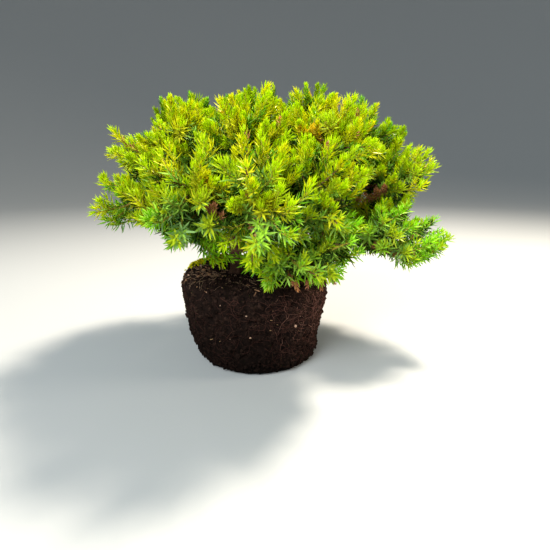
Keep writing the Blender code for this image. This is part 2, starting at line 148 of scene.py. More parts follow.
# How much denser or thinner than the rest some masses are
DENSER = {
    "upper_left": 1.35,
    "top_left": 1.3,
    "top_mid": 1.2,
    "right_mid": 1.25,
    "right_high": 1.2,
    "front_mid": 0.85,
    "front_left": 0.85,
}
INNER_SPRAYS_PER_MASS = 20
SPRAY_SPREAD = math.radians(122)
SPRAY_LENGTH = 27 * MM
SIDE_SPACING = {"brush": 3.3 * MM, "feather": 4.4 * MM, "star": 4.2 * MM, "old": 3.6 * MM, "dry": 2.6 * MM}
SIDE_START = 5 * MM  # behind the tip, as the first side shoot
SIDE_LONGEST = 11 * MM
COVERED_SHARE = 0.72  # of its free reach: a spray that reaches less far is covered by another mass
INNER_REACH = (0.62, 0.84)
LEAST_REACH = 9 * MM
LEADING_RADIUS = 0.62 * MM
SIDE_RADIUS = 0.45 * MM
WITHERED_SHARE = 0.012
STEM_RADII = (1.15 * MM, 0.8 * MM)
TWIG_RADII = (0.7 * MM, 0.3 * MM)

# How each kind of shoot carries its whorls of three needles: spacing of the whorls, length and width of
# a needle, its angle from the shoot low down and at the tip, and how far its point curls towards the tip
KINDS = {
    "brush": (1.2, 4.3, 1.12, 43, 27, 0.14),
    "feather": (2.2, 6.9, 1.12, 54, 29, 0.16),
    "star": (2.3, 7.4, 1.25, 70, 38, 0.06),
    "dry": (1.5, 3.5, 0.85, 66, 46, 0.32),
    "old": (2.5, 6.4, 1.3, 64, 44, 0.06),
}

# How far behind a shoot's tip its needles stand closer to it, and are shorter, and where the tones change
YOUNG_ANGLE_REACH = 4.5 * MM
YOUNG_LENGTH_REACH = 3.5 * MM
TONE_ZONES = (3.0, 9.0)  # mm behind the tip

# Colours of the needles, in linear light, for the keeled outer side and for the paler inner face. The
# inner face's paleness is partly the needle's real pale band and partly a painted highlight.
TONES = {
    "tip": ((0.55, 0.75, 0.002), (0.69, 0.82, 0.012)),
    "lime": ((0.70, 0.72, 0.002), (0.84, 0.82, 0.025)),
    "olive": ((0.44, 0.46, 0.002), (0.65, 0.65, 0.025)),
    "spring": ((0.45, 0.60, 0.002), (0.64, 0.74, 0.025)),
    # Painted shade: a duller green that dims the top back of the crown
    "meadow": ((0.33, 0.50, 0.002), (0.47, 0.60, 0.012)),
    "green": ((0.36, 0.72, 0.010), (0.58, 0.86, 0.07)),
    "leaf": ((0.22, 0.49, 0.016), (0.45, 0.70, 0.09)),
    "blue": ((0.18, 0.41, 0.075), (0.43, 0.69, 0.22)),
    # Painted shade: a dark green for needles in the gaps between sprays
    "dusk": ((0.085, 0.195, 0.008), (0.17, 0.31, 0.03)),
    # Painted shade: near-black green for needles hidden deep inside the crown
    "deep": ((0.024, 0.060, 0.004), (0.052, 0.112, 0.011)),
    "gold": ((0.80, 0.58, 0.01), (0.88, 0.73, 0.04)),
    "rust": ((0.62, 0.26, 0.09), (0.72, 0.38, 0.18)),
    "brown": ((0.33, 0.12, 0.05), (0.45, 0.19, 0.085)),
}
TONE_NAMES = list(TONES)
# Which tones a spray's needles take near the tip, in the middle and low down. A shoot takes the first of
# each pair, or the second by the chance given. The habits for shadow, for hidden and inner sprays and for
# the top back are darker greens, as painted shade, and the underside habit takes painted shade low down.
HABITS = {
    "sunlit": (("tip", "lime", 0.3), ("lime", "spring", 0.25), ("olive", "leaf", 0.3)),
    "fresh": (("tip", "spring", 0.4), ("spring", "lime", 0.45), ("leaf", "olive", 0.3)),
    "golden": (("tip", "lime", 0.5), ("lime", "gold", 0.4), ("olive", "gold", 0.25)),
    "cool": (("green", "spring", 0.35), ("green", "leaf", 0.55), ("leaf", "blue", 0.5)),
    "shaded": (("spring", "leaf", 0.35), ("leaf", "spring", 0.3), ("blue", "leaf", 0.4)),
    "under": (("leaf", "spring", 0.4), ("blue", "leaf", 0.4), ("blue", "deep", 0.35)),
    # Painted shade over the top back of the crown
    "high": (("meadow", "tip", 0.2), ("meadow", "spring", 0.25), ("leaf", "dusk", 0.4)),
    "shadow": (("spring", "leaf", 0.4), ("leaf", "dusk", 0.4), ("dusk", "deep", 0.4)),
    # Painted shade: darker greens for sprays hidden between the masses and inside them
    "dim": (("leaf", "dusk", 0.55), ("dusk", "leaf", 0.3), ("deep", "dusk", 0.3)),
    "deep": (("deep", "dusk", 0.35), ("deep", "dusk", 0.3), ("deep", "brown", 0.1)),
    "tinted": (("lime", "gold", 0.4), ("gold", "rust", 0.35), ("olive", "rust", 0.3)),
    "dead": (("brown", "rust", 0.4), ("brown", "rust", 0.15), ("brown", "deep", 0.3)),
}
NEEDLE_CLEARANCE = 0.4 * MM
LARGEST_PIECE = 190000  # triangles

# Regions of the crown with looks of their own: the left wing's edge, then heights
WING_EDGE = -68 * MM
LOW_HEIGHT = 100 * MM
WING_LOW_HEIGHT = 112 * MM
FRONT_LOW_HEIGHT = 103 * MM
LOW_MASS_HEIGHT = 95 * MM
LOWEST_HEIGHT = 88 * MM
HANGING_HEIGHT = 118 * MM
SHADED_HEIGHT = 110 * MM
UPPER_HEIGHT = 128 * MM
HIGH_HEIGHT = 158 * MM

# Finishes of the wood and of the root ball: two tones, the scales of the patches and of the grain, the
# second tone's share, roughness, height of the relief, gloss, and how the colour shades off between two
# places along an axis. On the root ball it is darker towards the bottom, and paler on the right, as painted
# light on its lit side. The bark is darker at the trunk's foot, as painted shade under the crown.
LOW_DARK_AND_PAINTED_RIGHT_LIGHT = (("Z", 0.004, 0.058, 0.28, 0.98), ("X", 0.012, 0.045, 1.0, 2.7))
PAINTED_FOOT_SHADE = (("Z", 0.060, 0.078, 0.22, 1.0),)
FINISHES = {
    # The root ball's ramps darken it towards the bottom and paint light on its right side
    "soil": ((0.0018, 0.0012, 0.0010), (0.018, 0.0094, 0.0070), 240, 1500, 0.9, 0.95, 0.0005, 0.03, LOW_DARK_AND_PAINTED_RIGHT_LIGHT),
    "crumbs": ((0.0022, 0.0014, 0.0011), (0.044, 0.022, 0.0155), 520, 2600, 0.8, 0.95, 0.0002, 0.03, LOW_DARK_AND_PAINTED_RIGHT_LIGHT),
    "splinter": ((0.40, 0.24, 0.11), (0.17, 0.09, 0.045), 420, 2600, 0.9, 0.8, 0.0001, 0.12, ()),
    "litter": ((0.30, 0.15, 0.075), (0.06, 0.027, 0.015), 420, 2600, 0.9, 0.8, 0.0001, 0.12, ()),
    "grit": ((0.50, 0.33, 0.24), (0.28, 0.12, 0.06), 420, 2600, 0.9, 0.9, 0.0001, 0.12, ()),
    "roots": ((0.080, 0.031, 0.022), (0.028, 0.011, 0.009), 400, 2000, 0.9, 0.8, 0.0001, 0.03, LOW_DARK_AND_PAINTED_RIGHT_LIGHT),
    "pale_roots": ((0.15, 0.072, 0.052), (0.07, 0.031, 0.023), 300, 2000, 0.9, 0.8, 0.0001, 0.03, LOW_DARK_AND_PAINTED_RIGHT_LIGHT),
    "surface_roots": ((0.19, 0.115, 0.068), (0.065, 0.036, 0.023), 300, 2000, 0.9, 0.85, 0.0001, 0.12, ()),
    # The bark's ramp paints shade at the trunk's foot
    "bark": ((0.30, 0.145, 0.092), (0.085, 0.036, 0.023), 380, 1900, 0.95, 0.85, 0.0003, 0.12, PAINTED_FOOT_SHADE),
    "twig": ((0.20, 0.10, 0.045), (0.075, 0.036, 0.020), 420, 2200, 0.9, 0.75, 0.0002, 0.12, ()),
    "shoot": ((0.36, 0.33, 0.02), (0.20, 0.12, 0.03), 420, 2200, 0.9, 0.6, 0.0001, 0.12, ()),
    "green_shoot": ((0.42, 0.48, 0.02), (0.34, 0.28, 0.03), 300, 2200, 0.9, 0.55, 0.0001, 0.12, ()),
}
MOSS_TONE = (0.85, 0.78, 0.008)

# Inputs of the strewing, in the order of the rows in dress_root_ball
STREW_INPUTS = ("Weight Name", "Density", "Smallest", "Largest", "Tilt", "Seed")

# Places that stay open between and under the lobes of the crown, as they show from the front. Each gives its
# middle across and up on the upright plane through the root ball's middle, its half sizes there, and how
# far back it goes, in mm.
VIEWPOINT = Vector((11.5, -293, 133)) * MM
LENS = 27.03
CAMERA_DIP = 14.3
OPENINGS = [
    (-16, 72, 5, 11, 2),  # before the trunk's foot
    (28, 115, 5, 7, -50),
    (-59, 123, 6, 7, -45),
    (-54, 139, 12, 5, -35),
    (-27, 143, 6, 5, -45),
    (-81, 168, 13, 13, 200),
    (-87, 158, 6, 6, 200),
    (-110, 143, 9, 11, 200),
    (-114, 119, 6, 5, 200),
    (-54, 187, 8, 4, 200),
    (-34, 185, 11, 7, 200),
    (-28, 180, 5, 5, 200),
    (-19, 187, 10, 7, 200),
    (17, 186, 6, 9, 200),
    (26, 194, 6, 5, 200),
    (43, 191, 8, 5, 200),
    (72, 183, 12, 6, 200),
    (82, 180, 5, 5, 200),
    (84, 169, 3, 6, 200),
    (92, 171, 5, 6, 200),
    (99, 168, 9, 6, 200),
    (72, 114, 9, 7, 8),
    (106, 155, 7, 5, 200),
    (129, 127, 10, 10, 200),
    (124, 110, 17, 11, 200),
    (138, 96, 13, 7, 200),
    (-86, 83, 19, 14, 200),
    (-52, 69, 18, 13, 200),
    (80, 66, 18, 9, 200),
    (121, 59, 17, 9, 200),
    (-9, 53, 13, 13, 200),
    (20, 43, 11, 10, 200),
]

# Extra sprays where the photo shows the crown fullest, each from its mass to a tip, in mm
FILLS = {
    "front_left_low": [
        (-22, -40, 76), (-27, -38, 77), (-17, -38, 79), (-20, -36, 84), (-33, -40, 82),
        (-35, -24, 91), (-42, -22, 89), (-28, -22, 93), (-38, -27, 95), (-58, -29, 92),
    ],
    "front_left": [
        (-18, -88, 128), (-24, -88, 130), (-12, -84, 126), (-44, -72, 118), (-42, -68, 124),
        (-46, -82, 124), (-40, -84, 120),
    ],
    "front_mid": [(8, -100, 121), (5, -101, 116), (14, -98, 124), (2, -100, 122), (-8, -44, 90)],
    "front_low": [
        (7, -66, 70), (9, -68, 69), (12, -74, 83), (9, -72, 80), (14, -76, 86), (-4, -60, 84),
        (-6, -48, 78), (-10, -46, 81), (-2, -46, 79), (-3, -30, 85), (1, -30, 82), (5, -32, 80),
        (-2, -28, 90),
    ],
    "front_right_low": [
        (50, -58, 76), (47, -60, 72), (37, -70, 89), (33, -70, 86), (42, -67, 92), (30, -27, 80),
        (40, -25, 84), (48, -28, 88), (36, -24, 95), (50, -22, 99), (26, -24, 90), (56, -26, 80),
    ],
    "front_right": [
        (37, -82, 116), (42, -80, 114), (32, -84, 118), (47, -74, 108), (44, -24, 102),
        (51, -20, 107), (38, -21, 105), (57, -22, 99), (32, -22, 99), (48, -27, 110),
    ],
    "left_low": [
        (-103, -15, 100), (-94, -20, 98), (-98, -8, 104), (-97, -10, 120), (-92, -16, 117),
        (-108, 2, 127),
    ],
    "right_low": [
        (118, -5, 73), (112, -8, 71), (132, 2, 81), (130, -2, 78), (124, 0, 76), (113, 2, 97),
        (118, 2, 95), (136, 0, 85),
    ],
    "upper_left": [
        (-62, -22, 154), (-57, -26, 152), (-66, -16, 150), (-70, -20, 146), (-55, -38, 152),
        (-51, -38, 148),
    ],
    "upper_front": [(-1, -44, 160), (3, -40, 163), (-5, -42, 158), (-6, -48, 163)],
    "upper_right": [
        (31, -54, 150), (27, -52, 146), (51, -42, 158), (56, -42, 163), (46, -44, 152),
        (54, -40, 168),
    ],
    "top_right": [(25, -5, 181), (27, -2, 180)],
    "right_top": [(56, -2, 165), (53, 0, 160), (60, 2, 168), (78, 12, 170), (77, 13, 164)],
    "top_left": [(-69, 20, 181), (-66, 16, 178), (-73, 18, 174), (-75, 18, 167)],
    "top_back": [(10, 42, 152), (15, 40, 146)],
    "back_mid": [(12, 50, 146), (16, 52, 138)],
    "top_mid": [(-33, 18, 150), (-30, 22, 144)],
    "back_low": [(-15, 45, 72), (-20, 50, 75), (-9, 48, 74), (-26, 48, 79)],
    "right_mid": [(70, 18, 137), (74, 22, 131)],
    "left_high": [(-93, 0, 137), (-97, 10, 156), (-92, 6, 150), (-76, 10, 156)],
    "right_high": [(105, 30, 152), (101, 26, 149)],
}

# Tips of sprays with an orange tint, and of withered ones, in mm
TINTED_TIPS = {
    "top_right": [(33, 5, 184), (52, 5, 179)],
    "right_top": [(58, 5, 177), (63, 5, 174), (61, 4, 170)],
    "front_left": [(-21, -87, 131)],
    "front_mid": [(-2, -88, 124)],
    "upper_right": [(35, -46, 158)],
}
DRY_TIPS = {
    "front_low": [(24, -70, 68)],
    "front_right_low": [(30, -67, 69), (38, -65, 67), (46, -60, 69)],
    "front_mid": [(0, -85, 104), (5, -86, 105), (10, -86, 107)],
    "front_left": [(-19, -82, 115), (-15, -82, 111)],
    "right_low": [(80, -12, 82), (88, -14, 78), (98, -12, 76), (108, -10, 77)],
    "right_mid": [(68, 4, 114), (75, 2, 116), (82, 2, 119), (88, 2, 122)],
}


def level_vector(turn):
    return Vector((math.cos(turn), math.sin(turn), 0))


def heading_vector(degrees):
    return level_vector(math.radians(degrees))


def apart_by(heading, other):
    """The angle between two headings, in degrees."""
    return abs((heading - other + 180) % 360 - 180)


def placed(name, data):
    """A new object with that data, in the scene."""
    made = bpy.data.objects.new(name, data)
    bpy.context.scene.collection.objects.link(made)
    return made


def bezier(start, control, end, steps):
    """Points along a curve that leaves start towards control and arrives at end."""
    shares = [i / steps for i in range(steps + 1)]
    return [start * (1 - t) ** 2 + control * 2 * t * (1 - t) + end * t * t for t in shares]


def smooth_route(route, values, steps):
    """Points and values along a smooth curve through the route's own points."""
    last = len(route) - 1
    points, sampled = [], []
    for i in range(steps + 1):
        place = i / steps * last
        k = min(int(place), last - 1)
        t = place - k
        before, after = route[max(k - 1, 0)], route[min(k + 2, last)]
        a, b = route[k], route[k + 1]
        slope_a, slope_b = (b - before) / 2, (after - a) / 2
        ends = a * (2 * t**3 - 3 * t**2 + 1) + b * (3 * t**2 - 2 * t**3)
        points.append(ends + slope_a * (t**3 - 2 * t**2 + t) + slope_b * (t**3 - t**2))
        sampled.append(values[k] * (1 - t) + values[k + 1] * t)
    return points, sampled


def point_at(points, share):
    """The point at a share of a polyline's own steps, and the direction there."""
    place = share * (len(points) - 1)
    k = min(int(place), len(points) - 2)
    step = points[k + 1] - points[k]
    return points[k] + step * (place - k), step.normalized()


def frame_across(direction):
    side = direction.cross(UP)
    if side.length < 0.05:
        side = direction.cross(Vector((1, 0, 0)))
    side.normalize()
    return side, side.cross(direction)


def mesh_object(name, places, corners, looks, which=None, smooth=False):
    """An object from arrays of places and of triangles, with the number of each triangle's material."""
    mesh = bpy.data.meshes.new(name)
    mesh.vertices.add(len(places))
    mesh.vertices.foreach_set("co", np.ascontiguousarray(places, dtype=np.float32).ravel())
    mesh.loops.add(corners.size)
    mesh.loops.foreach_set("vertex_index", np.ascontiguousarray(corners, dtype=np.int32).ravel())
    mesh.polygons.add(len(corners))
    mesh.polygons.foreach_set("loop_start", np.arange(0, corners.size, 3, dtype=np.int32))
    for look in looks:
        mesh.materials.append(look)
    if which is not None:
        mesh.polygons.foreach_set("material_index", which.astype(np.int32))
    mesh.update(calc_edges=True)
    if smooth:
        mesh.shade_smooth()
    else:
        mesh.shade_flat()
    return placed(name, mesh)


# Spaces, limbs and first twigs, by the rule of the part's source


class Space:
    """What a mass keeps to: an ellipsoid, its side of the wall to each other mass, above the soil."""

    def __init__(self, row):
        heading, reach, height = row[3:6]
        self.out = heading_vector(heading)
        self.middle = CROWN_MIDDLE + self.out * reach * MM + UP * height * MM
        self.axes = (self.out, UP.cross(self.out), UP)
        self.sizes = [size * MM * CROWN_FULLNESS for size in row[6:9]]
        self.size = sum(self.sizes) / 3
        self.walls = [(-UP, -(BALL_HEIGHT + RIM_RISE))]

    def add_wall(self, other):
        between = other.middle - self.middle
        far = between.length
        if far < 2 * (self.size + other.size):
            share = (far * far + self.size**2 - other.size**2) / (2 * far)
            normal = between / far
            self.walls.append((normal, self.middle.dot(normal) + share - WALL_MARGIN))

    def holds(self, place, radius):
        return all(place.dot(normal) + radius < offset for normal, offset in self.walls)

    def reach(self, start, direction, radius):
        """How far a ball can go from start, inside the space, before it leaves."""
        far = self.round_reach(start, direction)
        for normal, offset in self.walls:
            toward = direction.dot(normal)
            if toward > 0:
                far = min(far, (offset - radius - start.dot(normal)) / toward)
        return max(far, 0)

    def round_reach(self, start, direction):
        """How far the ellipsoid alone lets a point go."""
        place = [(start - self.middle).dot(axis) / size for axis, size in zip(self.axes, self.sizes)]
        step = [direction.dot(axis) / size for axis, size in zip(self.axes, self.sizes)]
        a = sum(x * x for x in step)
        b = sum(x * y for x, y in zip(place, step))
        c = sum(x * x for x in place) - 1
        return (math.sqrt(max(b * b - a * c, 0)) - b) / a


def plan_spaces():
    spaces = {row[0]: Space(row) for row in CROWN}
    for space in spaces.values():
        for other in spaces.values():
            if other is not space:
                space.add_wall(other)
    return spaces


def plan_limbs(spaces, trunk_points, trunk_radii):
    """The line and radii of the trunk and of each mass's limb, which ends at the mass's core."""
    carriers = {row[1] for row in CROWN}
    limbs = {"trunk": (trunk_points, trunk_radii)}
    for row in CROWN:
        name, parent, at = row[:3]
        if at == 1.0:
            continue  # the trunk's own tip carries this mass
        space = spaces[name]
        start, _ = point_at(limbs[parent][0], at)
        back = (start - space.middle).normalized()
        core = space.reach(space.middle, back, 0) * CORE_SHARE
        entry = space.middle + back * (core + 2 * MM)
        length = (entry - start).length
        level = Vector((entry.x - start.x, entry.y - start.y, 0)).normalized()
        leave = (level + UP * LIMB_RISE).normalized()
        bend = start + leave * length * 0.45
        arrive = entry + back * length * 0.2
        steps = 6 if length > 70 * MM else 4
        line = bezier(start, bend.lerp(arrive, 0.35), entry, steps)
        base = BOUGH_RADIUS if name in carriers else LIGHT_BOUGH_RADIUS
        limbs[name] = (line, [base + (LIMB_TIP_RADIUS - base) * i / steps for i in range(steps + 1)])
    return limbs


def limb_samples(limbs):
    """Close points along every limb, with their radii, for testing clearance."""
    places, radii = [], []
    for line, sizes in limbs.values():
        for i in range(len(line) - 1):
            for k in range(7):
                places.append(line[i].lerp(line[i + 1], k / 6))
                radii.append(sizes[i] * (1 - k / 6) + sizes[i + 1] * k / 6)
    return np.array(places), np.array(radii)


def clear_of_limbs(start, end, radius, samples):
    """Whether a straight piece of that radius keeps its clearance to every limb."""
    places, radii = samples
    a, b = np.array(start), np.array(end)
    span = b - a
    along = np.clip((places - a) @ span / max(span @ span, 1e-12), 0, 1)
    apart = np.linalg.norm(places - (a + along[:, None] * span), axis=1)
    return bool((apart > radii + radius + 2 * GAP).all())


def main_direction(space):
    outward = max((space.middle - CROWN_MIDDLE).dot(space.out), 1 * MM)
    rise = math.atan2(max(space.middle.z - CROWN_FLOOR, 0), outward)
    return (space.out * math.cos(rise) + UP * math.sin(rise)).normalized()


def grow_mass(number, space, root, inward, samples):
    """Stem and first twigs of one mass. Its limb ends at root, pointing inward."""
    rng = random.Random(SEED + number)
    middle, size = space.middle, space.size
    main = main_direction(space)
    side, over = frame_across(main)
    stem_end = middle + main * space.reach(middle, main, SHOOT_RADIUS) * 0.4
    stem = bezier(root + inward * GAP, middle, stem_end, 4)
    twigs = []
    heart = middle - main * size * 0.2
    phase = rng.uniform(0, 2 * math.pi)
    for k in range(TWIGS_TRIED):
        share = k / (TWIGS_TRIED - 1)
        lean = math.acos(1 - share * (1 - math.cos(TWIG_SPREAD)))
        turn = phase + k * GOLDEN_ANGLE
        toward = main * math.cos(lean) + (side * math.cos(turn) + over * math.sin(turn)) * math.sin(lean)
        tip = heart + toward * space.reach(heart, toward, SHOOT_RADIUS) * rng.uniform(0.93, 1.0)
        from_middle = tip - middle
        core = space.reach(middle, from_middle.normalized(), 0) * CORE_SHARE
        if from_middle.length < core + TWIG_SHOWING:
            continue
        start, _ = point_at(stem, 0.92 - 0.72 * lean / TWIG_SPREAD)
        length = (tip - start).length
        control = start.lerp(tip, 0.5) + main * length * 0.1 - UP * length * TWIG_DIP
        line = bezier(start, control, tip, 12)
        held = all(space.holds(place, SHOOT_RADIUS) for place in line)
        if held and all(clear_of_limbs(*step, SHOOT_RADIUS, samples) for step in zip(line, line[1:])):
            twigs.append(line)
    return stem, twigs


# Finer growth: sprays on the first twigs


class Growth:
    """Curved shoots gathered for the whole crown, as start, bend and end, with what each one carries."""

    def __init__(self):
        self.curves, self.kinds, self.habits, self.bare, self.thick = [], [], [], [], []

    def add(self, start, bend, end, kind, habit, bare, thick):
        self.curves.append((start, bend, end))
        self.kinds.append(kind)
        self.habits.append(habit)
        self.bare.append(bare)
        self.thick.append(thick)


def in_opening(place):
    """Whether a place lies in one of the crown's openings, as seen from the front."""
    share = (place.y - VIEWPOINT.y) / -VIEWPOINT.y
    across = (VIEWPOINT.x + (place.x - VIEWPOINT.x) / share) / MM
    up = (VIEWPOINT.z + (place.z - VIEWPOINT.z) / share) / MM
    return any(
        place.y < back * MM and ((across - x) / half_across) ** 2 + ((up - z) / half_up) ** 2 < 1
        for x, z, half_across, half_up, back in OPENINGS
    )


def deal(draw, *shares):
    """The habit that a draw from 0 to 1 falls to, from pairs of a habit and the upper end of its share."""
    return next(habit for habit, top in shares if draw < top)


def choose_look(rng, space, toward, tip, role):
    """The kind and habit of a spray from its role, which way it faces and where it stands."""
    height = toward.z
    wing = tip.x < WING_EDGE
    low = not wing and tip.z < LOW_HEIGHT
    edge = low or wing and tip.z < WING_LOW_HEIGHT
    draw = rng.random()
    if role == "dry":
        return "dry", "dead"
    if role == "tinted":
        return "brush", "tinted"
    # Inner and covered sprays mostly take dark greens, as painted shade where they lie hidden; low on the
    # left some take lighter ones
    if role == "inner":
        light = 0.85 if wing else 0.5 if tip.x < 0 and tip.y < 0 else 0
        if tip.z < SHADED_HEIGHT and draw < light:
            return "old", "shaded"
        return "old", deal(draw, ("dim", 0.65 if tip.z > UPPER_HEIGHT else 0.2), ("deep", 1))
    if role == "covered":
        light = 0.5 if low else 0.9 if edge else 0
        return "old", deal(draw, ("shaded", light), ("dim", 0.85), ("deep", 1))
    hanging = tip.x < 0 and height < -0.1 and tip.z < HANGING_HEIGHT
    in_front = tip.y < 0 and not wing
    if in_front and (tip.z < FRONT_LOW_HEIGHT or space.middle.z < LOW_MASS_HEIGHT or hanging):
        kind = "star" if rng.random() < 0.72 else "feather"
        if role == "extra" and tip.z < LOWEST_HEIGHT:
            return "star", "cool"
        return kind, deal(draw, ("cool", 0.64), ("shaded", 0.84), ("fresh", 0.9), ("under", 1))
    brushes = 0.35 if tip.y < -45 * MM and tip.z < 150 * MM and tip.x < 30 * MM else 0.8
    if height > 0.42:
        kind = "brush" if rng.random() < brushes else "feather"
    elif height > -0.25 and not low:
        kind = "feather" if rng.random() < 0.62 else "brush"
    else:
        kind = "star" if rng.random() < 0.6 else "feather"
    sunny = 0.42 if tip.x > 32 * MM or tip.z < 120 * MM else 0.72
    if low and draw < 0.5:
        return kind, "cool"
    # Over the top back most sprays take duller, darker greens, as painted shade
    if height > 0.3 and tip.z > HIGH_HEIGHT and tip.y > -5 * MM:
        return kind, deal(draw, ("sunlit", 0.14), ("high", 0.74), ("shadow", 0.95), ("golden", 1))
    if height > 0.3:
        return kind, deal(draw, ("sunlit", sunny), ("fresh", 0.93), ("golden", 0.985), ("tinted", 1))
    if height > -0.1 and not low:
        fresh = 0.78 if tip.x < 60 * MM else 0.9
        return kind, deal(draw, ("sunlit", sunny * 0.5), ("fresh", fresh), ("shadow", 0.98), ("tinted", 1))
    if height > -0.45:
        shade = [("shaded", 1)] if edge else [("shadow", 0.75), ("dim", 1)]
        return kind, deal(draw, ("fresh", 0.6 if wing else 0.3), *shade)
    return kind, deal(draw, ("shaded", 0.35), ("under" if edge else "dim", 0.96), ("dead", 1))


def attach_point(lines, tip, wanted):
    """The point of the twigs from which a spray of about the wanted length reaches tip most naturally."""
    best, found = None, None
    for line in lines:
        for k in range(1, len(line)):
            ahead = (line[k] - line[k - 1]).normalized()
            way = tip - line[k]
            far = way.length
            if far < 5 * MM:
                continue
            cost = abs(far - wanted) / wanted + 0.55 * (1 - way.normalized().dot(ahead))
            if best is None or cost < best:
                best, found = cost, (line[k], ahead)
    return found


def outside_openings(line):
    """The part of a twig that keeps out of the crown's openings."""
    for k, place in enumerate(line):
        if k > 5 and in_opening(place):
            return line[:k]
    return line


def grow_sprays(growth, number, name, space, stem, twigs, samples):
    """Fills a mass with sprays that spring from its twigs, to the same reach, and skips those that would
    leave its space or touch a limb."""
    rng = random.Random(SEED * 7 + number)
    main = main_direction(space)
    side, over = frame_across(main)
    heart = space.middle - main * space.size * 0.25
    phase = rng.uniform(0, 2 * math.pi)
    lines = [stem] + twigs
    outer = round(SPRAYS_PER_MASS * DENSER.get(name, 1.0) * (space.size / (37 * MM)) ** 2)
    inside = INNER_SPRAYS_PER_MASS + (16 if space.middle.z < 100 * MM else 0)
    wanted = []
    for k in range(outer + inside):
        inner = k >= outer
        share = ((k - outer + 0.5) / inside) if inner else (k + 0.5) / outer
        lean = math.acos(1 - share * (1 - math.cos(SPRAY_SPREAD)))
        lean += rng.uniform(-0.08, 0.08)
        turn = phase + k * GOLDEN_ANGLE
        toward = main * math.cos(lean) + (side * math.cos(turn) + over * math.sin(turn)) * math.sin(lean)
        free = space.round_reach(heart, toward)
        held = space.reach(heart, toward, 1 * MM)
        covered = held < COVERED_SHARE * free
        far = min(held, free - 3 * MM) * rng.uniform(0.9, 1.0)
        if inner:
            far *= rng.uniform(*INNER_REACH)
        tip = heart + toward * far
        if far > LEAST_REACH and not in_opening(tip):
            wanted.append((tip, "inner" if inner else "covered" if covered else "outer"))
    for role, tips in (("extra", FILLS), ("tinted", TINTED_TIPS), ("dry", DRY_TIPS)):
        wanted += [(Vector(place) * MM, role) for place in tips.get(name, ())]
    for tip, role in wanted:
        toward = (tip - heart).normalized()
        kind, habit = choose_look(rng, space, toward, tip, role)
        found = attach_point(lines, tip, SPRAY_LENGTH * rng.uniform(0.8, 1.15))
        if not found:
            continue
        start, ahead = found
        lift = 1.0 if toward.z > -0.1 else max(0.1, 1.0 + (toward.z + 0.1) * 1.8)
        arrive = (toward * 0.36 + UP * lift).normalized()
        span = tip - start
        length = span.length
        bend = tip - arrive * length * 0.5
        bend = bend.lerp(start + ahead * length * 0.4, 0.35)
        line = bezier(start, bend, tip, 5)
        planned = role in ("inner", "covered", "outer")
        if planned and not all(space.holds(place, 0.4 * MM) for place in line[1:]):
            bend = start.lerp(tip, 0.5)
            line = bezier(start, bend, tip, 5)
            if not all(space.holds(place, 0.2 * MM) for place in line[1:-1]):
                continue
        if not all(clear_of_limbs(*step, 0.6 * MM, samples) for step in zip(line[1:], line[2:])):
            continue
        bare = 0.12 if length < 30 * MM else 0.3
        growth.add(start, bend, tip, kind, habit, bare, LEADING_RADIUS)
        if role in ("inner", "covered"):
            side_shoots(growth, rng, space, line, length, "old", habit, 2.2, samples)
        else:
            slack = 0.8 * MM if role == "outer" else 6 * MM
            side_shoots(growth, rng, space, line, length, kind, habit, 1.0, samples, 0.5 * lift, slack)
    kind, habit = choose_look(rng, space, (stem[-1] - heart).normalized(), stem[-1], "outer")
    growth.add(stem[0], space.middle, stem[-1], kind, habit, 0.0, 0.55 * MM)
    side_shoots(growth, rng, space, stem, (stem[-1] - stem[0]).length, kind, habit, 1.3, samples, 0.5)
    for line in twigs:
        toward = (line[-1] - heart).normalized()
        kind, habit = choose_look(rng, space, toward, line[-1], "outer")
        half = len(line) // 2
        # The inner half of each first twig takes dark greens, as painted shade
        growth.add(line[1], line[half // 2 + 1], line[half], "old", "dim", 0.0, 0.45 * MM)
        growth.add(line[half], line[(half + len(line)) // 2], line[-1], kind, habit, 0.0, 0.7 * MM)
        length = (line[-1] - line[half]).length
        side_shoots(growth, rng, space, line[half:], length, kind, habit, 1.0, samples)


def side_shoots(growth, rng, space, line, length, kind, habit, thin, samples, lift=0.25, slack=0.8 * MM):
    """Side shoots, longer the further they stand behind the tip, as on a feather."""
    spread = frame_across((line[-1] - line[0]).normalized())
    flat = rng.uniform(0, math.pi)
    back = SIDE_START
    number = 0
    while back < length * 0.82:
        place, ahead = point_at(line, 1 - back / length)
        turn = flat + math.pi * (number % 2) + rng.uniform(-0.6, 0.6) + (0.8 if number % 4 > 1 else 0)
        across = spread[0] * math.cos(turn) + spread[1] * math.sin(turn)
        across = (across - ahead * across.dot(ahead)).normalized()
        reach = min(SIDE_LONGEST, 2.2 * MM + back * 0.5) * rng.uniform(0.75, 1.12)
        if kind == "dry":
            reach *= 0.6
        back += SIDE_SPACING[kind] * thin * rng.uniform(0.8, 1.25)
        number += 1
        lean = math.radians(rng.uniform(30, 44))
        leave = ahead * math.cos(lean) + across * math.sin(lean)
        end = place + (leave * 0.42 + ahead * 0.3 + UP * lift).normalized() * reach
        if in_opening(end):
            continue
        if space.holds(end, -slack) and clear_of_limbs(place, end, 0.3 * MM, samples):
            here = ("dry", "dead") if rng.random() < WITHERED_SHARE else (kind, habit)
            growth.add(place, place + leave * reach * 0.55, end, *here, 0.05, SIDE_RADIUS)


# Needles and the twigs that carry them


def unit(rows):
    return rows / np.maximum(np.linalg.norm(rows, axis=1, keepdims=True), 1e-9)


def across_rows(ahead):
    """Two directions across each row's own."""
    away = np.where(np.abs(ahead[:, 2:3]) < 0.9, [[0.0, 0.0, 1.0]], [[1.0, 0.0, 0.0]])
    side = unit(np.cross(ahead, away))
    return side, np.cross(side, ahead)


def curve_place(curves, t):
    t = t[:, None]
    return curves[:, 0] * (1 - t) ** 2 + curves[:, 1] * 2 * t * (1 - t) + curves[:, 2] * t * t


def curve_ahead(curves, t):
    t = t[:, None]
    return unit((curves[:, 1] - curves[:, 0]) * (1 - t) + (curves[:, 2] - curves[:, 1]) * t)


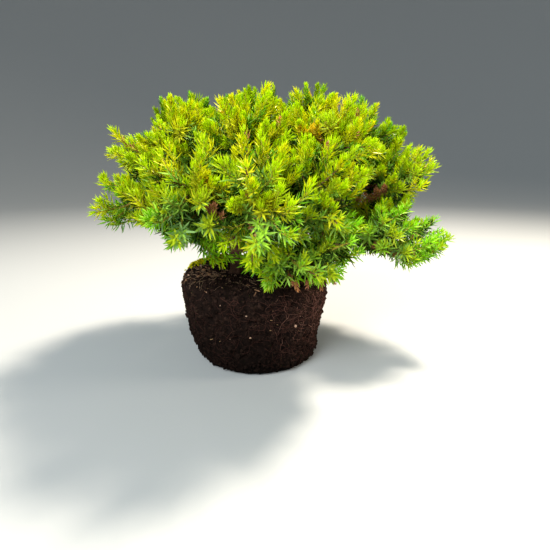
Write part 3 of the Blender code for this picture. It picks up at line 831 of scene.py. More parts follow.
def needle_rows(growth, curves, rng):
    """Root, directions, length, width, curl and tone of every needle of the crown."""
    settings = np.array([KINDS[kind] for kind in growth.kinds])
    bare = np.array(growth.bare)
    first, second, chord = (
        np.linalg.norm(curves[:, b] - curves[:, a], axis=1) for a, b in ((0, 1), (1, 2), (0, 2))
    )
    length = (first + second + chord) / 2
    spacing = settings[:, 0] * MM
    whorls = np.maximum(2, (length * (1 - bare) / spacing)).astype(int)
    shoot = np.repeat(np.arange(len(curves)), whorls)
    order = np.arange(len(shoot)) - np.repeat(np.cumsum(whorls) - whorls, whorls)
    behind = order * spacing[shoot] * (0.82 + 0.25 * np.minimum(1, order / 6))
    keep = behind < length[shoot] * (1 - bare[shoot])
    shoot, order, behind = shoot[keep], order[keep], behind[keep]
    shoot, order, behind = (np.repeat(v, 3) for v in (shoot, order, behind))
    arm = np.tile([0, 1, 2], len(shoot) // 3)
    count = len(shoot)
    t = np.clip(1 - behind / length[shoot], 0, 1)
    place = curve_place(curves[shoot], t)
    ahead = curve_ahead(curves[shoot], t)
    side, over = across_rows(ahead)
    phase = rng.uniform(0, 2 * math.pi, len(curves))
    turn = phase[shoot] + arm * 2 * math.pi / 3 + order * math.pi / 3 + rng.normal(0, 0.14, count)
    out = side * np.cos(turn)[:, None] + over * np.sin(turn)[:, None]
    young = np.clip(behind / YOUNG_ANGLE_REACH, 0, 1)
    young = young * young * (3 - 2 * young)
    low, high = np.radians(settings[shoot, 3]), np.radians(settings[shoot, 4])
    angle = high + (low - high) * young + rng.normal(0, 0.07, count)
    axis = ahead * np.cos(angle)[:, None] + out * np.sin(angle)[:, None]
    face = ahead * np.sin(angle)[:, None] - out * np.cos(angle)[:, None]
    grown = 0.7 + 0.3 * np.clip(behind / YOUNG_LENGTH_REACH, 0, 1)
    size = settings[shoot, 1] * MM * grown * rng.uniform(0.86, 1.12, count)
    width = settings[shoot, 2] * MM * (0.72 + 0.28 * grown) * rng.uniform(0.9, 1.1, count)
    curl = settings[shoot, 5] * rng.uniform(0.5, 1.5, count)
    dealt = []
    for habit in growth.habits:
        draws = rng.uniform(size=3)
        tones = [other if d < chance else tone for d, (tone, other, chance) in zip(draws, HABITS[habit])]
        dealt.append([TONE_NAMES.index(tone) for tone in tones])
    reach = behind / MM + rng.normal(0, 0.7, count)
    zone = (reach > TONE_ZONES[0]).astype(int) + (reach > TONE_ZONES[1])
    tone = np.array(dealt)[shoot, zone]
    return place, axis, face, size, width, curl, tone, shoot


def repeated(corners, count, each):
    """The triangles of that many equal shapes, each with the same number of places."""
    return (np.array(corners)[None] + (np.arange(count) * each)[:, None, None]).reshape(-1, 3)


def needle_piece(name, rows, looks, bent):
    """Needles joined into one mesh: a three-sided spindle each, with a paler inner face that is partly a
    painted highlight, and in a bent needle with two waists."""
    place, axis, face, size, width, curl = rows
    side = np.cross(axis, face)
    shares = (0.3, 0.7) if bent else (0.38,)
    rings = []
    for share in shares:
        middle = place + (axis * share + face * curl[:, None] * share * share) * size[:, None]
        half = (width * (0.5 if share < 0.5 else 0.36))[:, None]
        front = middle + face * half * 0.25
        rings.append(np.stack((front + side * half, front - side * half, middle - face * half * 0.8), 1))
    tip = place + (axis + face * curl[:, None]) * size[:, None]
    places = np.concatenate([place[:, None], *rings, tip[:, None]], axis=1)
    corners, inner = [], []
    for k in range(3):
        after = (k + 1) % 3
        corners.append((0, 1 + after, 1 + k))
        inner.append(k == 0)
        if bent:
            corners += [(1 + k, 1 + after, 4 + after), (1 + k, 4 + after, 4 + k)]
            inner += [k == 0] * 2
            corners.append((4 + k, 4 + after, 7))
        else:
            corners.append((1 + k, 1 + after, 4))
        inner.append(k == 0)
    faces = repeated(corners, *places.shape[:2])
    which = np.tile(np.array(inner, dtype=np.int32), len(place))
    return mesh_object(name, places.reshape(-1, 3), faces, looks, which)


def tube_corners(rings, sides):
    """Triangles of a closed tube whose places are its rings, one by one, and the middles of its ends."""
    corners = []
    last = (rings - 1) * sides
    for k in range(sides):
        after = (k + 1) % sides
        corners.append((rings * sides, k, after))
        for ring in range(rings - 1):
            a, b = ring * sides + k, ring * sides + after
            corners += [(a, a + sides, b + sides), (a, b + sides, b)]
        corners.append((last + k, rings * sides + 1, last + after))
    return np.array(corners)


def shoot_piece(name, curves, thick, look, sides, rings):
    """The woody shoots joined into one mesh: a closed tapering tube each."""
    count = len(curves)
    parts = []
    for share in np.linspace(0, 1, rings):
        t = np.full(count, share * 0.97)
        place, ahead = curve_place(curves, t), curve_ahead(curves, t)
        side, over = across_rows(ahead)
        radius = (thick * (1 - 0.55 * share))[:, None]
        turns = [2 * math.pi * k / sides for k in range(sides)]
        parts.append(np.stack([place + (side * math.cos(a) + over * math.sin(a)) * radius for a in turns], 1))
    parts += [curves[:, 0][:, None], curve_place(curves, np.ones(count))[:, None]]
    places = np.concatenate(parts, axis=1)
    faces = repeated(tube_corners(rings, sides), *places.shape[:2])
    return mesh_object(name, places.reshape(-1, 3), faces, [look], smooth=True)


# Trunk and boughs


def bark_tube(points, radii, sides, step, flare=None, collar=0.0):
    """A closed tube with the bark's relief: long ridges, flaking plates and small knots."""
    fine, sizes = [], []
    for i in range(len(points) - 1):
        span = (points[i + 1] - points[i]).length
        cuts = max(2, int(span / step))
        for k in range(cuts):
            fine.append(points[i].lerp(points[i + 1], k / cuts))
            sizes.append(radii[i] + (radii[i + 1] - radii[i]) * k / cuts)
    fine.append(points[-1])
    sizes.append(radii[-1])
    places, run = [], 0.0
    side = None
    for i, (place, radius) in enumerate(zip(fine, sizes)):
        ahead = (fine[min(i + 1, len(fine) - 1)] - fine[max(i - 1, 0)]).normalized()
        if side is None:
            side = frame_across(ahead)[0]
        side = (side - ahead * side.dot(ahead)).normalized()
        over = ahead.cross(side)
        if i:
            run += (place - fine[i - 1]).length
        wide = radius * (1 + collar * math.exp(-run / (3.5 * MM)))
        for k in range(sides):
            turn = 2 * math.pi * k / sides
            out = side * math.cos(turn) + over * math.sin(turn)
            here = place + out * wide
            grain = noise.noise(Vector((out.x * 2.2, out.y * 2.2, out.z * 2.2 + run / (9 * MM))))
            ridge = abs(noise.noise(here / (1.5 * MM) + ahead * run / (-1.9 * MM)))
            plate = noise.noise(here / (3.2 * MM))
            swell = 1 + 0.10 * grain + 0.07 * plate + 0.14 * (0.35 - ridge)
            if flare:
                height = max(0.0, here.z - flare[0])
                if height < flare[1]:
                    lobe = math.cos(FLARE_ROOTS * math.atan2(here.y - points[0].y, here.x - points[0].x))
                    swell += FLARE_DEPTH * lobe * (1 - height / flare[1]) ** 2
            places.append(place + out * wide * swell)
    places += [fine[0], fine[-1] + (fine[-1] - fine[-2]).normalized() * radii[-1] * 0.5]
    return np.array([list(p) for p in places]), tube_corners(len(fine), sides)


def joined(name, parts, look):
    """One smooth object from several pairs of places and triangles."""
    places, corners, first = [], [], 0
    for some_places, some_corners in parts:
        places.append(some_places)
        corners.append(some_corners + first)
        first += len(some_places)
    return mesh_object(name, np.concatenate(places), np.concatenate(corners), [look], smooth=True)


def outward(obj):
    """Turns every face outwards."""
    bm = bmesh.new()
    bm.from_mesh(obj.data)
    bmesh.ops.recalc_face_normals(bm, faces=bm.faces)
    bm.to_mesh(obj.data)
    bm.free()
    return obj


def make_limbs(limbs, look):
    line, radii = limbs["trunk"]
    foot = line[0].copy()
    trunk = joined("trunk_bark", [bark_tube(line, radii, 36, 0.9 * MM, (foot.z, FLARE_HEIGHT))], look)
    for vertex in trunk.data.vertices:  # its first ring goes into the soil
        if vertex.co.z < foot.z + 0.4 * MM:
            vertex.co.z = foot.z - 0.2 * MM
    names = [name for name in limbs if name != "trunk"]
    parts = [bark_tube(*limbs[name], 14, 1.3 * MM, collar=0.45) for name in names]
    boughs = joined("boughs_bark", parts, look)
    for piece in (trunk, boughs):
        outward(piece)
        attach(piece, "root")
    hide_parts("trunk")
    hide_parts(*["bough_" + name for name in names])


# Root ball


def ball_profile():
    """Outer outline of the root ball, from the middle of its top down to the middle of its foot."""
    top, waist, foot = BALL_TOP_RADIUS, BALL_WAIST_RADIUS, BALL_FOOT_RADIUS
    low = BALL_HEIGHT - BALL_SHOULDER
    points = [(0.4 * MM, BALL_HEIGHT), (top * 0.45, BALL_HEIGHT)]
    for degrees in range(90, -1, -10):
        turn = math.radians(degrees)
        points.append((top - BALL_SHOULDER * (1 - math.cos(turn)), low + BALL_SHOULDER * math.sin(turn)))
    for share in (0.34, 0.67):
        points.append((top + (waist - top) * share, low + (BALL_HEEL - low) * share))
    for degrees in range(0, 91, 15):
        turn = math.radians(degrees)
        points.append((foot + (waist - foot) * math.cos(turn), BALL_HEEL * (1 - math.sin(turn))))
    points.append((0.4 * MM, 0))
    return points


def ball_shift(place):
    """Where a point of the plain turned root ball lies on the real one: set off, lumpy, with its rim."""
    if place.z < 0.01 * MM:
        return place.copy()
    shift = Vector((BALL_OFFSET * min(1, place.z / (1.6 * BALL_HEEL)), 0, 0))
    reach = math.hypot(place.x, place.y)
    if reach > 1 * MM:
        heading = math.degrees(math.atan2(place.y, place.x))
        side = max(0.0, 1 - (apart_by(heading, RIM_HEADING) / RIM_SPREAD) ** 2)
        out = min(1.0, max(0.0, (reach / BALL_TOP_RADIUS - RIM_START) / (1 - RIM_START)))
        high = max(0.0, place.z / BALL_HEIGHT - 0.8) / 0.2
        shift.z += RIM_RISE * side * out * high
        away = Vector((place.x, place.y, 0)).normalized()
        edge = min(1.0, reach / BALL_FOOT_RADIUS) ** 4
        shift += away * LUMP_HEIGHT * edge * noise.noise(place / LUMP_SIZE)
    return place + shift


def soil_surface(look):
    """The root ball's skin: packed crumbs with pits between them, and a flat underside."""
    profile = ball_profile()
    outline = []
    for (x0, z0), (x1, z1) in zip(profile, profile[1:]):
        cuts = max(1, int(math.hypot(x1 - x0, z1 - z0) / BALL_STEP))
        outline += [(x0 + (x1 - x0) * k / cuts, z0 + (z1 - z0) * k / cuts) for k in range(cuts)]
    outline.append(profile[-1])
    places = []
    for i, (x, z) in enumerate(outline):
        before, after = outline[max(i - 1, 0)], outline[min(i + 1, len(outline) - 1)]
        slope = Vector((before[1] - after[1], 0, after[0] - before[0])).normalized()
        for k in range(BALL_SECTORS):
            turn = 2 * math.pi * k / BALL_SECTORS
            place = ball_shift(Vector((x * math.cos(turn), x * math.sin(turn), z)))
            normal = Vector((slope.x * math.cos(turn), slope.x * math.sin(turn), slope.z))
            if z > BALL_HEIGHT - 0.8 * BALL_SHOULDER:
                side = max(0.0, 1 - (apart_by(math.degrees(turn), MOSS_HEADING) / LIP_SPREAD) ** 2)
                place.z += LIP_HEIGHT * side * math.exp(-(((x - LIP_REACH) / LIP_WIDTH) ** 2))
            if place.x > 0:
                place.x -= WORN_DEPTH * max(0.0, 1 - place.z / WORN_HEIGHT) * place.x / BALL_FOOT_RADIUS
            if place.z > 0.3 * MM:
                coarse = noise.noise(place / (6.5 * MM)) * 0.8
                crumbs = 0.55 - abs(noise.noise(place / (2.3 * MM) + Vector((9, 2, 5)))) * 1.7
                fine = noise.noise(place / (1.1 * MM)) * 0.45
                hollow = max(0.0, noise.noise(place / (4.2 * MM) + Vector((3, 7, 1))) - 0.16) * -5.0
                near_foot = min(1.0, place.z / (4 * MM))
                place = place + normal * (coarse + crumbs * 1.3 + fine + hollow - 0.45) * MM * near_foot
            places.append(place)
    places += [Vector((BALL_OFFSET, 0, BALL_HEIGHT)), Vector((0, 0, 0))]
    corners = tube_corners(len(outline), BALL_SECTORS)
    skin = joined("root_ball_soil", [(np.array([list(p) for p in places]), corners)], look)
    outward(skin)
    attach(skin, "root")
    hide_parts("root_ball")
    return skin


# Node helpers


def add_node(tree, kind, inputs=None, **settings):
    """A node with its settings made, and its inputs set to values or linked from other sockets."""
    node = tree.nodes.new(kind)
    for name, value in settings.items():
        setattr(node, name, value)
    for name, value in (inputs or {}).items():
        socket = node.inputs[name]
        if isinstance(value, bpy.types.NodeSocket):
            tree.links.new(value, socket)
        else:
            socket.default_value = value
    return node


def colour(rgb):
    return (*rgb, 1.0)


def new_shader(name):
    look = bpy.data.materials.new(name)
    look.use_nodes = True
    tree = look.node_tree
    return look, tree, tree.nodes["Principled BSDF"], tree.nodes["Material Output"]


def mottle_group():
    """Shared effect: a colour that drifts between two others in patches, with a fine height."""
    group = bpy.data.node_groups.new("mottle", "ShaderNodeTree")
    face = group.interface
    for name, kind, value in (
        ("Colour", "NodeSocketColor", (0.5, 0.5, 0.5, 1)),
        ("Other Colour", "NodeSocketColor", (0.5, 0.5, 0.5, 1)),
        ("Patch Scale", "NodeSocketFloat", 200.0),
        ("Grain Scale", "NodeSocketFloat", 1500.0),
        ("Share", "NodeSocketFloat", 0.5),
    ):
        face.new_socket(name, in_out="INPUT", socket_type=kind).default_value = value
    face.new_socket("Colour", in_out="OUTPUT", socket_type="NodeSocketColor")
    face.new_socket("Height", in_out="OUTPUT", socket_type="NodeSocketFloat")
    start = group.nodes.new("NodeGroupInput")
    end = group.nodes.new("NodeGroupOutput")
    place = add_node(group, "ShaderNodeTexCoord").outputs["Object"]
    patch, grain = (
        add_node(
            group,
            "ShaderNodeTexNoise",
            {"Vector": place, "Scale": start.outputs[scale], "Detail": detail, "Roughness": rough},
        ).outputs["Fac"]
        for scale, detail, rough in (("Patch Scale", 4.0, 0.6), ("Grain Scale", 2.0, 0.7))
    )
    mixed = add_node(group, "ShaderNodeMath", {0: patch, 1: grain}, operation="ADD")
    spread = add_node(
        group,
        "ShaderNodeMapRange",
        {"Value": mixed.outputs[0], "From Min": 0.72, "From Max": 1.28, "To Min": 0.0, "To Max": 1.0},
    )
    share = add_node(
        group,
        "ShaderNodeMath",
        {0: spread.outputs[0], 1: start.outputs["Share"]},
        operation="MULTIPLY",
        use_clamp=True,
    )
    blend = add_node(
        group,
        "ShaderNodeMix",
        {0: share.outputs[0], 6: start.outputs["Colour"], 7: start.outputs["Other Colour"]},
        data_type="RGBA",
    )
    group.links.new(blend.outputs[2], end.inputs["Colour"])
    group.links.new(grain, end.inputs["Height"])
    return group


def ramp_along(tree, axis, start, end, low, high):
    """A value that runs from low to high between two places along an axis."""
    place = add_node(tree, "ShaderNodeTexCoord").outputs["Object"]
    along = add_node(tree, "ShaderNodeSeparateXYZ", {0: place}).outputs[axis]
    limits = {"From Min": start, "From Max": end, "To Min": low, "To Max": high}
    return add_node(tree, "ShaderNodeMapRange", {"Value": along, **limits}).outputs[0]


def drifting(tree, mottle, tone, other, patch, grain, share):
    """The shared effect in a finish's tree, with its inputs set."""
    values = {
        "Colour": colour(tone),
        "Other Colour": colour(other),
        "Patch Scale": patch,
        "Grain Scale": grain,
        "Share": share,
    }
    return add_node(tree, "ShaderNodeGroup", values, node_tree=mottle)


def textured(name, mottle, tone, other, patch, grain, share, rough, height, gloss, ramps):
    """A finish whose colour drifts between two tones and shades off along ramps, with a fine relief."""
    look, tree, shader, _ = new_shader(name)
    drift = drifting(tree, mottle, tone, other, patch, grain, share)
    tint = drift.outputs["Colour"]
    for ramp in ramps:
        factor = ramp_along(tree, *ramp)
        scaled = add_node(tree, "ShaderNodeVectorMath", {0: tint, "Scale": factor}, operation="SCALE")
        tint = scaled.outputs[0]
    relief = add_node(
        tree, "ShaderNodeBump", {"Height": drift.outputs["Height"], "Strength": 0.6, "Distance": height}
    )
    tree.links.new(tint, shader.inputs["Base Color"])
    tree.links.new(relief.outputs["Normal"], shader.inputs["Normal"])
    shader.inputs["Roughness"].default_value = rough
    shader.inputs["Specular IOR Level"].default_value = gloss
    return look


def needle_look(name, mottle, tone, glow):
    """Waxy needle skin that lets some light through."""
    look, tree, shader, end = new_shader(name)
    darker = tuple(0.62 * c for c in tone)
    drift = drifting(tree, mottle, tone, darker, 90.0, 700.0, 0.5)
    tree.links.new(drift.outputs["Colour"], shader.inputs["Base Color"])
    shader.inputs["Roughness"].default_value = 0.32 if max(tone) > 0.2 else 0.7
    shader.inputs["Specular IOR Level"].default_value = 0.08
    if glow:
        through = add_node(tree, "ShaderNodeBsdfTranslucent", {"Color": drift.outputs["Colour"]})
        both = {0: glow, 1: shader.outputs[0], 2: through.outputs[0]}
        mixed = add_node(tree, "ShaderNodeMixShader", both)
        tree.links.new(mixed.outputs[0], end.inputs["Surface"])
    return look


# Geometry Nodes: small things strewn over a surface, and threads that follow curves


def new_geometry_tree(name, inputs):
    tree = bpy.data.node_groups.new(name, "GeometryNodeTree")
    face = tree.interface
    face.new_socket("Geometry", in_out="INPUT", socket_type="NodeSocketGeometry")
    for title, kind, value in inputs:
        socket = face.new_socket(title, in_out="INPUT", socket_type=kind)
        if value is not None:
            socket.default_value = value
    face.new_socket("Geometry", in_out="OUTPUT", socket_type="NodeSocketGeometry")
    return tree, tree.nodes.new("NodeGroupInput"), tree.nodes.new("NodeGroupOutput")


def finish_tree(tree, made, start, end):
    """Ends a tree: its instances made real, in the finish that it is given."""
    real = add_node(tree, "GeometryNodeRealizeInstances", {"Geometry": made.outputs[0]})
    dressed = {"Geometry": real.outputs[0], "Material": start.outputs["Finish"]}
    tree.links.new(add_node(tree, "GeometryNodeSetMaterial", dressed).outputs[0], end.inputs["Geometry"])
    return tree


def strew_tree():
    """Instances of one small item over a surface, where a named weight says, turned and sized by chance."""
    tree, start, end = new_geometry_tree(
        "strewn_items",
        [
            ("Item", "NodeSocketObject", None),
            ("Density", "NodeSocketFloat", 1000.0),
            ("Weight Name", "NodeSocketString", ""),
            ("Smallest", "NodeSocketFloat", 0.5),
            ("Largest", "NodeSocketFloat", 1.0),
            ("Tilt", "NodeSocketFloat", 0.5),
            ("Seed", "NodeSocketInt", 1),
            ("Finish", "NodeSocketMaterial", None),
        ],
    )
    given = start.outputs
    weight = add_node(tree, "GeometryNodeInputNamedAttribute", {"Name": given["Weight Name"]})
    density = add_node(
        tree, "ShaderNodeMath", {0: weight.outputs["Attribute"], 1: given["Density"]}, operation="MULTIPLY"
    )
    points = add_node(
        tree,
        "GeometryNodeDistributePointsOnFaces",
        {"Mesh": given["Geometry"], "Density": density.outputs[0], "Seed": given["Seed"]},
    )
    size = add_node(
        tree,
        "FunctionNodeRandomValue",
        {2: given["Smallest"], 3: given["Largest"], "Seed": given["Seed"]},
        data_type="FLOAT",
    )
    back = add_node(tree, "ShaderNodeMath", {0: given["Tilt"], 1: -1.0}, operation="MULTIPLY")
    least = add_node(tree, "ShaderNodeCombineXYZ", {0: back.outputs[0], 1: back.outputs[0], 2: 0.0})
    most = add_node(tree, "ShaderNodeCombineXYZ", {0: given["Tilt"], 1: given["Tilt"], 2: 2 * math.pi})
    lean = add_node(
        tree,
        "FunctionNodeRandomValue",
        {0: least.outputs[0], 1: most.outputs[0], "Seed": given["Seed"]},
        data_type="FLOAT_VECTOR",
    )
    by = add_node(tree, "FunctionNodeEulerToRotation", {0: lean.outputs[0]})
    turned = add_node(
        tree,
        "FunctionNodeRotateRotation",
        {"Rotation": points.outputs["Rotation"], "Rotate By": by.outputs[0]},
        rotation_space="LOCAL",
    )
    item = add_node(tree, "GeometryNodeObjectInfo", {"Object": given["Item"]})
    laid = add_node(
        tree,
        "GeometryNodeInstanceOnPoints",
        {
            "Points": points.outputs["Points"],
            "Instance": item.outputs["Geometry"],
            "Rotation": turned.outputs[0],
            "Scale": size.outputs[1],
        },
    )
    return finish_tree(tree, laid, start, end)


def thread_tree():
    """Round threads that follow curves, as thick as each point's radius."""
    tree, start, end = new_geometry_tree(
        "threads",
        [
            ("Thickness", "NodeSocketFloat", 1.0),
            ("Sides", "NodeSocketInt", 4),
            ("Finish", "NodeSocketMaterial", None),
        ],
    )
    ring = add_node(
        tree,
        "GeometryNodeCurvePrimitiveCircle",
        {"Resolution": start.outputs["Sides"], "Radius": start.outputs["Thickness"]},
    )
    skin = add_node(
        tree,
        "GeometryNodeCurveToMesh",
        {
            "Curve": start.outputs["Geometry"],
            "Profile Curve": ring.outputs["Curve"],
            "Scale": add_node(tree, "GeometryNodeInputRadius").outputs[0],
            "Fill Caps": True,
        },
    )
    return finish_tree(tree, skin, start, end)


def run_tree(name, host, tree, values, look):
    """The plain mesh that a tree makes on its host, as a new object."""
    modifier = host.modifiers.new(name, "NODES")
    modifier.node_group = tree
    for item in tree.interface.items_tree:
        if item.in_out == "INPUT" and item.name in values:
            modifier[item.identifier] = values[item.name]
        elif item.in_out == "INPUT" and item.name == "Finish":
            modifier[item.identifier] = look
    graph = bpy.context.evaluated_depsgraph_get()
    mesh = bpy.data.meshes.new_from_object(host.evaluated_get(graph))
    host.modifiers.remove(modifier)
    for other in [m for m in mesh.materials if m is not look]:
        mesh.materials.pop(index=list(mesh.materials).index(other))
    return placed(name, mesh)


def item_object(name, places, faces):
    mesh = bpy.data.meshes.new(name)
    mesh.from_pydata(places, [], faces)
    item = placed(name, mesh)
    item.hide_render = True
    return item


def crumb_item(rng):
    bm = bmesh.new()
    bmesh.ops.create_icosphere(bm, subdivisions=1, radius=1)
    for vertex in bm.verts:
        vertex.co *= rng.uniform(0.65, 1.15)
        vertex.co.z *= 0.7
    places, faces = [v.co[:] for v in bm.verts], [[v.index for v in f.verts] for f in bm.faces]
    bm.free()
    return item_object("crumb_item", places, faces)


def sliver_item():
    """A splinter of bark, about 3 mm long."""
    places = [
        (-1.6, 0, 0.1), (-1.1, 0.3, 0), (-1.2, -0.22, 0), (-1.0, 0, 0.32),
        (1.2, 0.24, 0), (1.0, -0.3, 0), (1.1, 0, 0.3), (1.7, 0.05, 0.1),
    ]
    faces = [
        (0, 1, 2), (0, 2, 3), (0, 3, 1), (1, 4, 5), (1, 5, 2), (2, 5, 6), (2, 6, 3),
        (3, 6, 4), (3, 4, 1), (7, 5, 4), (7, 6, 5), (7, 4, 6),
    ]
    return item_object("sliver_item", [(x * MM, y * MM, z * MM) for x, y, z in places], faces)


def flake_item(rng):
    """A thin uneven flake of bark, about 2 mm across."""
    rim = []
    for k in range(7):
        turn = 2 * math.pi * k / 7
        far = rng.uniform(0.7, 1.25)
        rim.append((far * 1.2 * math.cos(turn), far * 0.7 * math.sin(turn), rng.uniform(-0.12, 0.2)))
    places = rim + [(x * 0.9, y * 0.9, z + 0.22) for x, y, z in rim] + [(0, 0, 0), (0, 0, 0.38)]
    faces = []
    for k in range(7):
        after = (k + 1) % 7
        faces += [(14, after, k), (15, 7 + k, 7 + after), (k, after, 7 + after, 7 + k)]
    return item_object("flake_item", [(x * MM, y * MM, z * MM) for x, y, z in places], faces)


def moss_item(rng):
    """A tuft of moss: short pointed leaflets round a middle."""
    places, faces = [], []
    for k in range(7):
        turn = 2 * math.pi * k / 7 + rng.uniform(-0.3, 0.3)
        out = level_vector(turn)
        across = Vector((-out.y, out.x, 0))
        lean = rng.uniform(0.25, 0.9)
        high = rng.uniform(0.9, 1.5)
        foot = out * 0.12
        tip = out * lean + UP * high
        middle = foot.lerp(tip, 0.45)
        first = len(places)
        places += [foot, middle + across * 0.17, middle - across * 0.17, middle + out * 0.12, tip]
        for a, b in ((1, 2), (2, 3), (3, 1)):
            faces += [(first, first + a, first + b), (first + 4, first + b, first + a)]
    return item_object("moss_item", [tuple(p * MM) for p in places], faces)


def dress_root_ball(skin, looks, rng):
    """Crumbs, splinters, moss and litter on the soil."""
    names = ("anywhere", "upper", "mossy", "top", "rim")
    weights = {name: skin.vertex_groups.new(name=name) for name in names}
    for vertex in skin.data.vertices:
        place = vertex.co
        reach = math.hypot(place.x - BALL_OFFSET, place.y)
        heading = math.degrees(math.atan2(place.y, place.x - BALL_OFFSET))
        off = apart_by(heading, MOSS_HEADING)
        patch = noise.noise(place / (9 * MM))
        from_rim = apart_by(heading, RIM_HEADING) / RIM_SPREAD
        crest = BALL_HEIGHT + RIM_RISE * max(0.0, 1 - from_rim**2)
        amounts = {
            "anywhere": float(place.z > 1.5 * MM),
            "upper": float(place.z > 24 * MM),
            "top": float(place.z > BALL_HEIGHT - 3 * MM),
        }
        if place.z > crest - 3.0 * MM and reach > BALL_TOP_RADIUS * 0.84 and off < MOSS_SPREAD:
            amounts["mossy"] = (1 - (off / MOSS_SPREAD) ** 4) * (1.3 + patch)
        elif place.z > BALL_HEIGHT - 5 * MM and reach > BALL_TOP_RADIUS * 0.62 and from_rim < 1:
            amounts["rim"] = (1 - from_rim**2) * (1 + 2 * patch)
        for name, amount in amounts.items():
            if amount > 0:
                weights[name].add([vertex.index], min(1.0, amount), "REPLACE")
    strew = strew_tree()
    for name, item, look, row in (
        ("soil_crumbs", crumb_item(rng), "crumbs", ("anywhere", 150000.0, 0.35 * MM, 1.0 * MM, 1.0, 11)),
        ("soil_lumps", crumb_item(rng), "crumbs", ("anywhere", 24000.0, 1.0 * MM, 2.0 * MM, 1.0, 14)),
        ("bark_splinters", sliver_item(), "splinter", ("upper", 1300.0, 0.4, 1.0, 0.35, 12)),
        ("fallen_needles", sliver_item(), "litter", ("top", 14000.0, 0.6, 1.6, 0.3, 15)),
        ("rim_litter", sliver_item(), "litter", ("rim", 34000.0, 0.35, 1.3, 0.5, 16)),
        ("rim_flakes", flake_item(rng), "litter", ("rim", 42000.0, 0.45, 1.9, 0.6, 18)),
        ("pale_grit", crumb_item(rng), "grit", ("upper", 1500.0, 0.35 * MM, 1.15 * MM, 1.0, 17)),
        ("rim_moss", moss_item(rng), "moss", ("mossy", 950000.0, 0.9, 1.7, 0.5, 13)),
    ):
        values = {"Item": item, **dict(zip(STREW_INPUTS, row))}
        piece = run_tree(name, skin, strew, values, looks[look])
        bpy.data.objects.remove(item)
        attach(piece, "root")
    skin.vertex_groups.clear()


def surface_line(tree, start_turn, start_height, heading, steps, step, rng, wander, lift):
    """Points that wander over the root ball's side, just proud of the soil."""
    turn, height = start_turn, start_height
    points = []
    for _ in range(steps):
        away = level_vector(turn)
        middle = Vector((BALL_OFFSET * min(1, height / (1.6 * BALL_HEEL)), 0, height))
        hit = tree.ray_cast(middle + away * 0.09, -away)
        if hit[0] is None:
            break
        points.append(hit[0] + away * lift)
        heading += rng.gauss(0, wander)
        turn += math.cos(heading) * step / 0.048
        height += math.sin(heading) * step
        if not 2.5 * MM < height < BALL_HEIGHT - 1 * MM:
            break
    return points


def top_line(tree, place, heading, steps, step, rng, wander, lift):
    """Points that wander over the root ball's top, half sunk in the soil."""
    points = []
    for _ in range(steps):
        hit = tree.ray_cast(Vector((place.x, place.y, 0.08)), -UP)
        if hit[0] is None or hit[0].z < BALL_HEIGHT - 4 * MM:
            break
        points.append(hit[0] + UP * lift)
        heading += rng.gauss(0, wander)
        place = place + level_vector(heading) * step
    return points


def thread_piece(name, lines, tree, look):
    """Threads along the given lines, each with its radius at the thick end."""
    curve = bpy.data.curves.new(name, "CURVE")
    curve.dimensions = "3D"
    for line, full in lines:
        if len(line) < 5:
            continue
        spline = curve.splines.new("POLY")
        spline.points.add(len(line) - 1)
        for k, place in enumerate(line):
            spline.points[k].co = (*place, 1)
            spline.points[k].radius = full * (1 - 0.6 * k / len(line))
    guide = placed(name + "_guide", curve)
    piece = run_tree(name, guide, tree, {"Thickness": MM, "Sides": 4}, look)
    bpy.data.objects.remove(guide)
    piece.data.shade_smooth()
    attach(piece, "root")


def root_threads(skin, looks, rng):
    """The net of fine roots round the ball, densest on its right half, and the surface roots on its top."""
    solid = BVHTree.FromPolygons(
        [v.co.copy() for v in skin.data.vertices], [list(p.vertices) for p in skin.data.polygons]
    )
    tree = thread_tree()
    fine, pale, surface = [], [], []
    for number in range(FINE_ROOTS):
        turn = rng.gauss(-0.45, 0.5) if number % 9 < 5 else rng.uniform(-math.pi, math.pi)
        height = rng.uniform(5, 57) * MM
        heading = rng.choice((-1.2, -1.9, 0.2, 2.9, -0.5)) + rng.uniform(-0.5, 0.5)
        line = surface_line(solid, turn, height, heading, 20, 1.1 * MM, rng, 0.32, 0.1 * MM)
        group = pale if number % 9 == 4 else fine
        group.append((line, 0.15 * rng.uniform(0.55, 1.35)))
    foot = Vector((TRUNK_ROUTE[0].x, TRUNK_ROUTE[0].y, 0))
    for number in range(SURFACE_ROOTS):
        way = math.radians(rng.gauss(200, 40) if number % 4 else rng.uniform(0, 360))
        begin = foot + level_vector(way) * rng.uniform(4, 26) * MM
        line = top_line(solid, begin, way + rng.gauss(0, 0.35), 26, 1.2 * MM, rng, 0.16, 0.12 * MM)
        surface.append((line, rng.uniform(0.2, 0.6)))
    thread_piece("fine_roots", fine, tree, looks["roots"])
    thread_piece("pale_roots", pale, tree, looks["pale_roots"])
    thread_piece("surface_roots", surface, tree, looks["surface_roots"])


# Foliage


